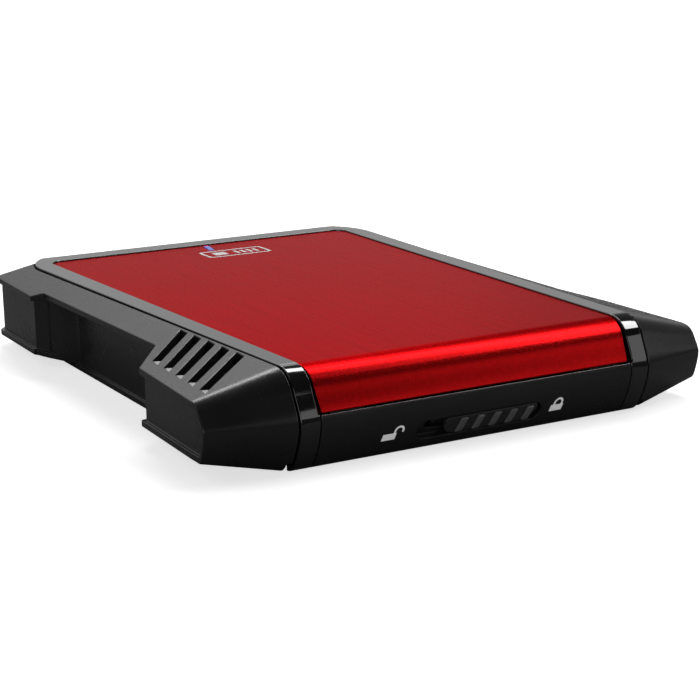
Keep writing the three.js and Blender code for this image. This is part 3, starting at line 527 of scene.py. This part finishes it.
MATERIALS = {
    "housing_matt_black": moulded(
        "matt_black_plastic", (0.015, 0.015, 0.0153), 0.26, 2400.0, 2e-6, specular=0.45
    ),
    "frame_gloss_black": polished("gloss_black_plastic", (0.006, 0.006, 0.0065)),
    "plate_red_aluminium": brushed(
        "red_anodised_aluminium", (0.42, 0.005, 0.006), 0.28, (1, 0.02, 1), 3e-7, 0.0, rim=(0.95, 0.44, 0.45)
    ),
    "fascia_black": moulded("satin_black_plastic", (0.014, 0.014, 0.0145), 0.3, 1800.0, 1.5e-6),
    "lock_black": moulded("lock_black_plastic", (0.03, 0.03, 0.031), 0.3, 1800.0, 2e-6, lift=2.4),
    "floor_black": moulded("floor_black_plastic", (0.018, 0.018, 0.019), 0.6, 2000.0, 8e-6),
    "lock_steel": brushed("spring_steel", (0.6, 0.6, 0.61), 0.3, (0.02, 1, 1)),
    "screw_steel": brushed("zinc_plated_steel", (0.62, 0.62, 0.62), 0.28, (1, 1, 0.1), coarse=0.4),
    "light_guide": light_guide("lit_acrylic"),
    "bridge_board_green": solder_mask("green_board", (0.012, 0.1, 0.035)),
    "drive_board_blue": solder_mask("blue_board", (0.01, 0.045, 0.12)),
    "chip_black": moulded("chip_epoxy", (0.014, 0.014, 0.016), 0.5, 3000.0, 6e-6),
    "crystal_steel": brushed("bright_can", (0.7, 0.7, 0.71), 0.2, (0.05, 1, 1), coarse=0.5),
    "ferrite_grey": moulded("ferrite", (0.05, 0.052, 0.058), 0.7, 1500.0, 2e-5),
    "led_resin": moulded("led_resin", (0.6, 0.65, 0.8), 0.2, 1500.0, 1e-6),
    "connector_black": moulded("nylon", (0.012, 0.012, 0.012), 0.45, 1500.0, 5e-6),
    "socket_steel": brushed("tinned_steel", (0.68, 0.68, 0.69), 0.25, (1, 0.05, 1), coarse=0.6),
    "foam_grey": foam("closed_cell_foam"),
    "thermal_pad_grey": moulded("silicone_pad", (0.28, 0.32, 0.38), 0.8, 900.0, 3e-5),
    "drive_case_grey": brushed("blasted_aluminium", (0.16, 0.165, 0.175), 0.45, (1, 1, 1), 4e-6, 0.0, 0.3),
    "label_white": printed("label_paper", (0.62, 0.62, 0.6)),
}
RIB_GREY = moulded("rib_grey_plastic", (0.16, 0.16, 0.162), 0.35, 1800.0, 2e-6, lift=1.6)
# the grey print glows a little: painted light that lifts it above what the lamps give
GREY_PRINT_PAINTED_GLOW = printed("grey_print_painted_glow", (0.8, 0.8, 0.8), glow=0.32)
# painted light: the ramps are the housing's black plastic, made pale grey where their sloped facets catch the
# light
RAMP_PAINTED_LIGHT_GREY = moulded("ramp_facet_painted_light", (0.5, 0.5, 0.5), 0.3, 1800.0, 2e-6)
PRINT_WHITE = printed("white_print", (0.75, 0.75, 0.75))


# ---------------------------------------------------------------- outlines of the cover, flat
def plan_half(spec, y, margin=0.0):
    """Half width in plan at y, with a round corner at the back."""
    radius = spec["corner"] + margin
    corner_y = spec["back_y"] + margin - radius
    edge = spec["middle"] + spec["taper"] * min(y, corner_y) + margin
    if y <= corner_y:
        return edge
    reach = min(y - corner_y, radius)
    return edge - radius + math.sqrt(max(radius * radius - reach * reach, 0.0))


def strip(spec, first, last, margin=0.0, narrowing=0.0):
    """A flat outline between two distances, as wide as the plan is there."""
    corner = spec["corner"] + margin
    corner_start = spec["back_y"] + margin - corner
    extra = []
    if corner_start < BACK["top_y"]:
        turns = [corner * math.sin(math.radians(a)) for a in range(0, 90, 5)]
        extra = [side_view.on_top(min(corner_start + t, BACK["top_y"])) for t in turns]
    inside = [s for s in side_view.distances + extra if first + 0.02 < s < last - 0.02]
    stations = sorted(set([first, *inside, last]))
    right = []
    front = side_view.distances[side_view.front_start]
    for s in stations:
        share = min(max((s - front) / (last - front), 0.0), 1.0)
        half = plan_half(spec, side_view.y_at(s), margin) - narrowing * share
        right.append((half, s))
    return right + [(-x, s) for x, s in right[::-1]]


def slit_outline(margin):
    front = side_view.on_top(LED["front_y"] - margin)
    back = side_view.on_top(LED["back_y"] + margin)
    half, lean = LED["half"] + margin, LED["lean"]
    return [
        (LED["x"] - half - lean, front),
        (LED["x"] + half - lean, front),
        (LED["x"] + half + lean, back),
        (LED["x"] - half + lean, back),
    ]


def on_fascia(outline):
    """Front-view points (x, z) as flat points."""
    return [(x, side_view.on_front(z)) for x, z in outline]


def stadium(half, low_z, high_z):
    radius = (high_z - low_z) / 2
    centre = low_z + radius
    right = arc(half - radius, centre, radius, -math.pi / 2, math.pi / 2)
    left = arc(-half + radius, centre, radius, math.pi / 2, 1.5 * math.pi)
    return right + left


def tube(x, y, outer, inner, low_z, high_z):
    ring = [(x + p, y + q) for p, q in arc(0, 0, outer, 0, 2 * math.pi, 32)[:-1]]
    hole = [(x + p, y + q) for p, q in arc(0, 0, inner, 0, 2 * math.pi, 32)[:-1]]
    return cut(prism(ring, low_z, high_z), prism(hole, low_z - 1, high_z - 0.8))


# ---------------------------------------------------------------- cover
POST = {"x": 26.0, "y": -54.6, "radius": 1.8, "foot_z": 11.4}


def build_frame():
    flat = prism(strip(COVER_HALF, 0.0, side_view.length), -COVER_THICKNESS, 0.0)
    pocket_depth = PLATE["sink"] + PLATE["thickness"] + GAP
    back = side_view.on_top(PLATE_HALF["back_y"] + GAP)
    front = side_view.on_front(PLATE["front_z"] - GAP)
    pocket = prism(strip(PLATE_HALF, back, front, GAP), -pocket_depth, 2.0)
    side = FASCIA_HALF + GAP
    room = block((-side, front - 0.03, -4), (side, side_view.length + 1, 4))
    lip_end = side_view.on_back(LEDGE["high_z"] + CLEARANCE)
    ends = [block((LIP_HALF, -1, -4), (60, lip_end, 4)), block((-60, -1, -4), (-LIP_HALF, lip_end, 4))]
    cut(flat, pocket, room, prism(slit_outline(CLEARANCE), -4, 4), *ends)
    wrap(bevel(clean(flat), 0.22))
    top_z = HEIGHT - COVER_THICKNESS + 0.1
    posts = [tube(x, POST["y"], POST["radius"], 1.0, POST["foot_z"], top_z) for x in (-POST["x"], POST["x"])]
    attach(flat, *posts)
    material = MATERIALS["frame_gloss_black"]
    return complete(flat, "cover_frame_shell", "cover", material, ["cover_frame"])


def build_plate():
    back = side_view.on_top(PLATE_HALF["back_y"])
    front = side_view.on_front(PLATE["front_z"])
    outline = strip(PLATE_HALF, back, front, narrowing=PLATE["narrowing"])
    flat = prism(outline, -PLATE["sink"] - PLATE["thickness"], -PLATE["sink"])
    cut(flat, prism(slit_outline(0.1), -4, 4))
    wrap(bevel(clean(flat), 0.16))
    material = MATERIALS["plate_red_aluminium"]
    return complete(flat, "red_plate_skin", "cover", material, ["red_top_plate"])


def build_fascia():
    top = side_view.on_front(PLATE["front_z"] - 2 * GAP)
    flat = block((-FASCIA_HALF, top, -COVER_THICKNESS), (FASCIA_HALF, side_view.length, 0.0))
    track = prism(on_fascia(stadium(LOCK["track_half"], LOCK["low_z"], LOCK["high_z"])), -LOCK["depth"], 2)
    slot_ends = (LOCK["low_z"] + 1.05, LOCK["high_z"] - 1.05)
    slot = prism(on_fascia(stadium(LOCK["track_half"] - 2.2, *slot_ends)), -4, 2)
    cut(flat, track, slot)
    wrap(bevel(clean(flat), 0.14))
    tabs = []
    for x in (-POST["x"], POST["x"]):
        arm = join(block((x - 3, -60, 8.2), (x + 3, -57.4, 10)), block((x - 3, -58.3, 9.6), (x + 3, -53, 11)))
        hole = [(x + p, POST["y"] + q) for p, q in arc(0, 0, 1.1, 0, 2 * math.pi, 24)[:-1]]
        tabs.append(bevel(clean(cut(arm, prism(hole, 8, 12))), 0.15))
    attach(flat, *tabs)
    material = MATERIALS["fascia_black"]
    return complete(flat, "front_fascia_panel", "cover", material, ["front_fascia"])


def slanted(x, half, low_z, high_z, lean):
    foot = [(x - half - lean, low_z), (x + half - lean, low_z)]
    return foot + [(x + half + lean, high_z), (x - half + lean, high_z)]


def build_button():
    low_z, high_z = LOCK["low_z"] + 0.25, LOCK["high_z"] - 0.25
    left, right = BUTTON["left"], BUTTON["right"]
    lower_corner = arc(left + 1.75, low_z + 1.6, 1.6, math.pi, 1.5 * math.pi)
    outline = [(right - 2.4, low_z), (right - 0.6, high_z - 0.9), (right - 0.8, high_z)]
    outline += [(left + 0.6, high_z), (left + 0.15, high_z - 0.5)]
    flat = prism(on_fascia(outline + lower_corner), -LOCK["depth"] + CLEARANCE, 0.0)
    bevel(clean(flat), 0.12)
    wrap(flat)
    stem_z = (LOCK["low_z"] + 1.05 + CLEARANCE, LOCK["high_z"] - 1.05 - CLEARANCE)
    stems = [block((x, -59.6, stem_z[0]), (x + 2.4, -56.9, stem_z[1])) for x in (-3.4, 6.6)]
    attach(flat, *stems)
    return complete(flat, "lock_button_grip", "lock", MATERIALS["lock_black"], ["lock_button"])


def build_ribs():
    """The raised ribs of the button, in a paler grey than its plate."""
    pitch = (BUTTON["right"] - BUTTON["left"] - 6) / (BUTTON["ribs"] - 1)
    ribs = []
    for i in range(BUTTON["ribs"]):
        x = BUTTON["left"] + 3.4 + i * pitch
        bar = slanted(x, 0.62, LOCK["low_z"] + 0.55, LOCK["high_z"] - 0.55, 0.4)
        ribs.append(bevel(clean(prism(on_fascia(bar), -0.1, BUTTON["proud"])), 0.1))
    wrap(attach(*ribs))
    return complete(ribs[0], "lock_button_ribs", "lock", RIB_GREY)


# ---------------------------------------------------------------- printed symbols
def stroke(path, width):
    """A flat band of constant width along a path, as an outline."""
    left, right = [], []
    for i, here in enumerate(path):
        before, after = path[max(i - 1, 0)], path[min(i + 1, len(path) - 1)]
        along = (Vector(after) - Vector(before)).normalized()
        side = Vector((-along.y, along.x)) * width / 2
        left.append((here[0] + side.x, here[1] + side.y))
        right.append((here[0] - side.x, here[1] - side.y))
    return left + right[::-1]


def lean_over(points, base_z, share=0.14):
    return [(x + (z - base_z) * share, z) for x, z in points]


def padlock(x, open_shackle):
    """Outlines of a generic padlock whose body's foot is centred at x on the fascia."""
    low_z, body_top, half = 3.35, 4.55, 1.28
    body = [(x - half, low_z), (x + half, low_z), (x + half, body_top), (x - half, body_top)]
    radius = 0.78
    centre = x + (half + radius - 0.4 if open_shackle else 0.1)
    left_leg = [(centre - radius, body_top - 0.15), (centre - radius, body_top + 0.3)]
    bow = arc(centre, body_top + 0.35, radius, math.pi, 0.0, 16)
    right_foot = body_top + 0.05 if open_shackle else body_top - 0.15
    shackle = stroke(left_leg + bow + [(centre + radius, right_foot)], 0.36)
    return [lean_over(body, low_z), lean_over(shackle, low_z)]


def build_padlocks():
    for name, x, is_open in (("open", -18.1, True), ("closed", 15.75, False)):
        flat = None
        for outline in padlock(x, is_open):
            part = prism(on_fascia(outline), -0.02, SYMBOL_PROUD)
            flat = part if flat is None else attach(flat, part)
        wrap(flat)
        # the padlock symbols carry the grey print with its painted glow
        complete(flat, "padlock_symbol_" + name, "cover", GREY_PRINT_PAINTED_GLOW)


def rounded_rectangle(centre_x, centre_y, half_x, half_y, radius):
    corners = [(1, 1, 0), (-1, 1, 1), (-1, -1, 2), (1, -1, 3)]
    points = []
    for sx, sy, quarter in corners:
        x, y = centre_x + sx * (half_x - radius), centre_y + sy * (half_y - radius)
        points += arc(x, y, radius, quarter * math.pi / 2, (quarter + 1) * math.pi / 2, 6)
    return points


def build_drive_symbol():
    """A plain drive pictogram: a rounded frame, a chip and a row of contacts."""
    x, y = 3.0, 41.0
    top = -PLATE["sink"]
    outer = rounded_rectangle(x, y, 7.4, 3.4, 1.0)
    inner = rounded_rectangle(x, y, 6.8, 2.8, 0.6)

    def ink(points):
        return prism([(a, side_view.on_top(b)) for a, b in points], top - 0.02, top + SYMBOL_PROUD)

    hole = prism([(a, side_view.on_top(b)) for a, b in inner], top - 1, top + 1)
    ring = cut(ink(outer), hole)
    chip = ink(rounded_rectangle(x - 3.6, y, 1.5, 1.5, 0.3))
    bars = []
    for i in range(4):
        bars.append(ink(rounded_rectangle(x + 0.4 + i * 1.5, y, 0.36, 1.5, 0.15)))
    attach(ring, chip, *bars)
    wrap(ring)
    return complete(ring, "drive_symbol_print", "cover", PRINT_WHITE)


# ---------------------------------------------------------------- outer housing
def side_outline(front, back, top_z, foot_z, depth):
    heights = {"top_z": top_z - depth, "foot_z": foot_z + depth}
    front_part = front_curve(**dict(front, nose_y=front["nose_y"] + depth, **heights))
    back_part = back_curve(**dict(back, wall_y=back["wall_y"] - depth, **heights))
    return front_part + back_part


def envelope(depth):
    """The right side's outer shape: level up to the cover's edge, then falling to the outer end."""
    inner = side_outline(COVER, REAR_ROOT, WING["inner_z"], 0.0, depth)
    outer = side_outline(BUMPER, REAR_END, WING["outer_z"], BUMPER_FOOT_Z, depth)
    root = [(WING["root_x"], y, z) for y, z in inner]
    edge = [(plan_half(COVER_HALF, min(y, WALL_Y)), y, z) for y, z in inner]
    return loft([root, edge, [(WING["outer_x"], y, z) for y, z in outer]], 6)


def wing_plan(inset):
    corner = [(41.6 + 4.5 * c, 54.2 + 4.0 * s) for c, s in arc(0, 0, 1, steps=10)]
    edge = [(WING["outer_x"] + 0.01, -70), (WING["outer_x"] + 0.01, -52), (49.2, -29.1), (43.2, -22.4)]
    edge += [(44.3, 31.4), (46.4, 33.4), *corner, (30, 58.2), (30, -70)]
    if not inset:
        return edge
    count = len(edge)
    moved = []
    for i in range(count):
        before, here, after = (Vector(edge[(i + k) % count]) for k in (-1, 0, 1))
        into, out = (here - before).normalized(), (after - here).normalized()
        along = (into + out).normalized()
        stretch = inset / max(along.dot(out), 0.5)
        moved.append((here.x - along.y * stretch, here.y + along.x * stretch))
    return moved


def wing_z(x, y):
    inner_x = COVER_HALF["middle"] + COVER_HALF["taper"] * y
    slope = (WING["outer_z"] - WING["inner_z"]) / (WING["outer_x"] - inner_x)
    return WING["inner_z"] + slope * (x - inner_x)


def under_wing():
    """The room below the wing's sheet."""
    sheet = WING["sheet"]
    sections = []
    for y in (-40, 40):
        top = [(60, y, wing_z(60, y) - sheet), (30, y, wing_z(30, y) - sheet)]
        sections.append([(30, y, -3), (60, y, -3), *top])
    return loft(sections, 1)


def recess_tool():
    plan = [(39.4, -21.6), (42.7, -22), (48.6, -28.6), (56, -28.6), (56, 33.2), (45.7, 33.2)]
    plan += [(44.6, 31.4), (42, 29.2), (39.9, 27), (39.4, 25)]
    return common(prism(plan, -2, HEIGHT), under_wing())


def vents():
    """The outline of each slot, and the corners of the ramp that runs out from its outer end."""
    found = []
    for i in range(VENT["count"]):
        inner_y = VENT["first_y"] - i * VENT["pitch"]
        inner_x = plan_half(COVER_HALF, inner_y) + 0.9
        outer = (VENT["outer"][0] + VENT["drift"] * i, VENT["outer"][1] - VENT["pitch"] * i)
        end = (outer[0] + VENT_END[0], outer[1] + VENT_END[1])
        half = VENT["half"]
        slot = [(inner_x, inner_y - half), end, outer, (inner_x, inner_y + half)]
        tip = (outer[0] + VENT_TIP[0], outer[1] + VENT_TIP[1])
        back = [(x - 0.25, y + 0.15) for x, y in (end, outer)]
        low = [(x, y, wing_z(x, y) - RAMP_DEPTH) for x, y in back]
        found.append((slot, [*low, (*tip, wing_z(*tip) + 0.02)]))
    return found


def build_ramp_floors():
    """The vents' ramp floors in pale grey: painted light on sloped facets of the black housing, which are the
    same plastic.
    """
    floors = []
    for slot, ramp in vents():
        floors.append(loft([[(x, y, z + rise) for x, y, z in ramp] for rise in (-0.05, 0.08)], 1))
    floors += [mirror_copy(floor) for floor in floors]
    attach(*floors)
    # the pale grey of these floors is painted light on facets of the black housing
    return complete(floors[0], "vent_ramp_floors", "base", RAMP_PAINTED_LIGHT_GREY)


def slab(low_y, high_y, low_z, high_z):
    return block((-60, low_y, low_z), (60, high_y, high_z))


def cover_plan(margin, front_y=-70.0, corner=COVER_HALF["corner"]):
    """The cover's plan, moved outward by a margin, with a corner of a given radius at the back."""
    spec = dict(COVER_HALF, corner=corner)
    radius = corner + margin
    start = WALL_Y - corner
    ys = [front_y] + [start + radius * math.sin(math.radians(a)) for a in range(0, 91, 5)]
    right = [(plan_half(spec, y, margin), y) for y in ys]
    return right + [(-x, y) for x, y in right[::-1]]


def hollow_plan():
    outer_x = WING["outer_x"] - 2.4
    return [(36.7, -53), (outer_x, -53), (outer_x - 1, -30.1), (outer_x - 5.8, -24.8), (36.7, -24.8)]


def build_housing():
    right = common(envelope(0.0), prism(wing_plan(0.0), -2, 30))
    panel = cut(envelope(1.2), prism(wing_plan(0.8), -2, HEIGHT + 2))
    hollow = common(envelope(1.8), prism(hollow_plan(), 0, 20))
    zones = [slab(-80, 80, LEDGE["high_z"], 30), slab(-80, -51, -2.5, 30.5)]
    rooms = [common(prism(cover_plan(CLEARANCE), -2, 29.5), zone) for zone in zones]
    slots = [prism(slot, 9, 20) for slot, ramp in vents()]
    ramps = [loft([ramp, [(x, y, 22.0) for x, y, z in ramp]], 1) for slot, ramp in vents()]
    cut(right, recess_tool(), panel, hollow, block((30, -46, 5), (38, -33, 12.5)), *slots, *rooms)
    inside = block((20, -51.5, -3), (LEDGE["inner_x"], 50.5, 30))
    corner_room = common(prism(cover_plan(-1.4, 39.0), -3, 30), slab(50.2, 80, -4, 31))
    cut(right, block((30, -28, 1.6), (37.9, 50, LEDGE["low_z"])), inside, corner_room)
    join(right, block((LEDGE["inner_x"], -26, 0), (39.9, 52, 1.2)))
    whole = join(right, mirror_copy(right), rear_wall())
    cut(whole, block((-36.3, -70, -2), (36.3, 56.7, 1.9)))
    bevel(clean(whole), 0.2, 3, 32)
    ramps += [mirror_copy(ramp) for ramp in ramps]
    combine(whole, [attach(*ramps)], "DIFFERENCE", "EXACT")
    material = MATERIALS["housing_matt_black"]
    return complete(whole, "outer_housing_shell", "base", material, ["outer_housing"])


def inward(points, distance):
    """A line of points moved to its left."""
    moved = []
    for i, here in enumerate(points):
        before, after = points[max(i - 1, 0)], points[min(i + 1, len(points) - 1)]
        along = (Vector(after) - Vector(before)).normalized()
        moved.append((here[0] - along.y * distance, here[1] + along.x * distance))
    return moved


def rear_wall():
    """The wall round the back: low under the cover's lip, and up to the ledge at the corners."""
    outside = back_curve(top_z=HEIGHT, foot_z=0.0, **BACK)
    inside = inward(outside, COVER_THICKNESS)
    body = common(
        prism(cover_plan(0.0, 40.0), -1, HEIGHT + 1),
        prism([(40, 0), *outside, (40, HEIGHT)], -50, 50, "x"),
    )
    room = common(
        prism(cover_plan(-COVER_THICKNESS, 39.0), -2, HEIGHT + 2),
        prism([(39, -1), (BACK["foot_y"] - 0.4, -1), *inside, (39, HEIGHT)], -50, 50, "x"),
    )
    corner_x = LIP_HALF + CLEARANCE
    above_lip = block((-corner_x, 45, LIP_Z - CLEARANCE), (corner_x, 70, 30))
    wall = cut(body, room, slab(0, 50.5, -5, 30), above_lip, slab(0, 80, LEDGE["high_z"], 30))
    x, half, low_z, height = USB["x"], USB["half"], USB["low_z"], USB["height"]
    join(wall, block((33.6, 52.4, 2), (37, 54.6, 6)), block((-37, 52.4, 2), (-33.6, 54.6, 6)))
    side = half + CLEARANCE
    mouth = block((x - side, 50, low_z - CLEARANCE), (x + side, 70, low_z + height + CLEARANCE))
    return cut(wall, mouth, block((x - 8, 60.1, 2.6), (x + 8, 70, 7.2)))


# ---------------------------------------------------------------- stage
BACKDROP = (0.485, 0.875, 0.0)
CAMERA = {
    "spot": (-0.15987, -0.30135, 0.0876),
    "right": (0.87105, -0.49090, -0.01695),
    "up": (0.13133, 0.19950, 0.97106),
    "back": (-0.47331, -0.84807, 0.23824),
    "lens": 90.8,
}


def build_camera():
    data = bpy.data.cameras.new("camera")
    data.lens = CAMERA["lens"]
    data.sensor_width = 36.0
    camera = bpy.data.objects.new("camera", data)
    bpy.context.scene.collection.objects.link(camera)
    turn = Matrix((CAMERA["right"], CAMERA["up"], CAMERA["back"])).transposed().to_4x4()
    camera.matrix_world = Matrix.Translation(CAMERA["spot"]) @ turn
    bpy.context.scene.camera = camera


def build_light(name, spot, target, width, height, power):
    data = bpy.data.lights.new(name, "AREA")
    data.shape = "RECTANGLE"
    data.size, data.size_y = width, height
    data.energy = power
    light = bpy.data.objects.new(name, data)
    bpy.context.scene.collection.objects.link(light)
    light.location = spot
    aim = Vector(target) - Vector(spot)
    light.rotation_mode = "QUATERNION"
    light.rotation_quaternion = aim.to_track_quat("-Z", "Y")
    return light


def build_world():
    """White where the camera sees it; for the light, a grey backdrop behind the piece, dark elsewhere."""
    world = bpy.data.worlds.new("studio")
    bpy.context.scene.world = world
    world.use_nodes = True
    nodes, links = world.node_tree.nodes, world.node_tree.links
    coordinates = nodes.new("ShaderNodeTexCoord")
    split = nodes.new("ShaderNodeSeparateXYZ")
    links.new(coordinates.outputs["Generated"], split.inputs["Vector"])
    ramp = nodes.new("ShaderNodeValToRGB")
    stops = [(0.0, 0.3), (0.2, 0.52), (0.3, 0.5), (0.42, 0.1), (1.0, 0.04)]
    while len(ramp.color_ramp.elements) < len(stops):
        ramp.color_ramp.elements.new(0.5)
    for element, (place, value) in zip(ramp.color_ramp.elements, stops):
        element.position = place
        element.color = (value, value, value, 1.0)
    links.new(split.outputs["Z"], ramp.inputs["Fac"])
    background = nodes["Background"]
    links.new(ramp.outputs["Color"], background.inputs["Color"])
    facing = nodes.new("ShaderNodeVectorMath")
    facing.operation = "DOT_PRODUCT"
    links.new(coordinates.outputs["Generated"], facing.inputs[0])
    facing.inputs[1].default_value = BACKDROP
    share = nodes.new("ShaderNodeMapRange")
    share.inputs["From Min"].default_value = 0.1
    share.inputs["From Max"].default_value = 0.85
    share.inputs["To Min"].default_value = 0.1
    share.inputs["To Max"].default_value = 1.0
    links.new(facing.outputs["Value"], share.inputs["Value"])
    links.new(share.outputs["Result"], background.inputs["Strength"])
    seen = nodes.new("ShaderNodeBackground")
    seen.inputs["Color"].default_value = (1.0, 1.0, 1.0, 1.0)
    path = nodes.new("ShaderNodeLightPath")
    mix = nodes.new("ShaderNodeMixShader")
    links.new(path.outputs["Is Camera Ray"], mix.inputs["Fac"])
    links.new(background.outputs["Background"], mix.inputs[1])
    links.new(seen.outputs["Background"], mix.inputs[2])
    links.new(mix.outputs["Shader"], nodes["World Output"].inputs["Surface"])


def build_floor():
    """A pale floor for the camera that throws little light back at the piece."""
    bm = bmesh.new()
    bmesh.ops.create_grid(bm, x_segments=8, y_segments=8, size=6.0)
    floor = new_object("studio_floor", bm)
    floor.location.z = cad_low.z
    s = Shader("pale_floor")
    camera_ray = s.nodes.new("ShaderNodeLightPath").outputs["Is Camera Ray"]
    pale = s.mix(s.spread(s.noise(3.0), 0.0, 1.0), (0.8, 0.8, 0.8), (0.84, 0.84, 0.84))
    s.set("Base Color", s.mix(camera_ray, (0.16, 0.16, 0.16), pale))
    s.set("Roughness", s.spread(s.noise(40.0), 0.5, 0.6))
    s.bsdf.inputs["Specular IOR Level"].default_value = 0.2
    s.bsdf.inputs["Emission Color"].default_value = (1.0, 1.0, 1.0, 1.0)
    distance = s.nodes.new("ShaderNodeVectorMath")
    distance.operation = "LENGTH"
    s.links.new(s.coordinates, distance.inputs[0])
    glow = s.nodes.new("ShaderNodeMath")
    glow.operation = "MULTIPLY"
    s.links.new(camera_ray, glow.inputs[0])
    s.links.new(s.spread(distance.outputs["Value"], 0.68, 1.1, 0.1, 0.6), glow.inputs[1])
    s.set("Emission Strength", glow.outputs["Value"])
    floor.data.materials.append(s.material)


def build_stage():
    build_camera()
    build_world()
    build_floor()
    build_light("roll_strip", (0.42, 0.18, 0.78), (0, -0.05, 0), 1.5, 0.16, 8.0)
    build_light("front_panel", (0.46, -0.72, 0.34), (0, -0.05, 0), 1.3, 0.2, 0.9)
    build_light("left_box", (-0.75, 0.25, 0.75), (0, 0, 0), 0.8, 0.6, 1.2)
    build_light("back_box", (0.05, 1.0, 0.62), (0, 0.05, 0), 1.4, 0.4, 1.6)
    build_light("front_left_fill", (-0.7, -0.6, 0.22), (0, -0.05, 0.005), 0.9, 0.3, 1.2)
    settings = bpy.context.scene.view_settings
    settings.view_transform = "Standard"
    settings.look = "None"


# ---------------------------------------------------------------- CAD pieces that stay
def finish_nodes():
    """Gives every CAD node that stays its material and a soft edge."""
    slots = {row["node"]: row["material_slot"] for row in frame["record"]["subparts"]}
    for name, node in frame["nodes"].items():
        node.data.materials.clear()
        node.data.materials.append(MATERIALS[slots[name]])
        soften = node.modifiers.new("soft_edges", "BEVEL")
        soften.width = 0.00008
        soften.segments = 2
        soften.limit_method = "ANGLE"
        soften.angle_limit = math.radians(35)


finish_nodes()
build_frame()
build_plate()
build_fascia()
build_button()
build_ribs()
build_padlocks()
build_drive_symbol()
build_housing()
build_ramp_floors()
build_stage()
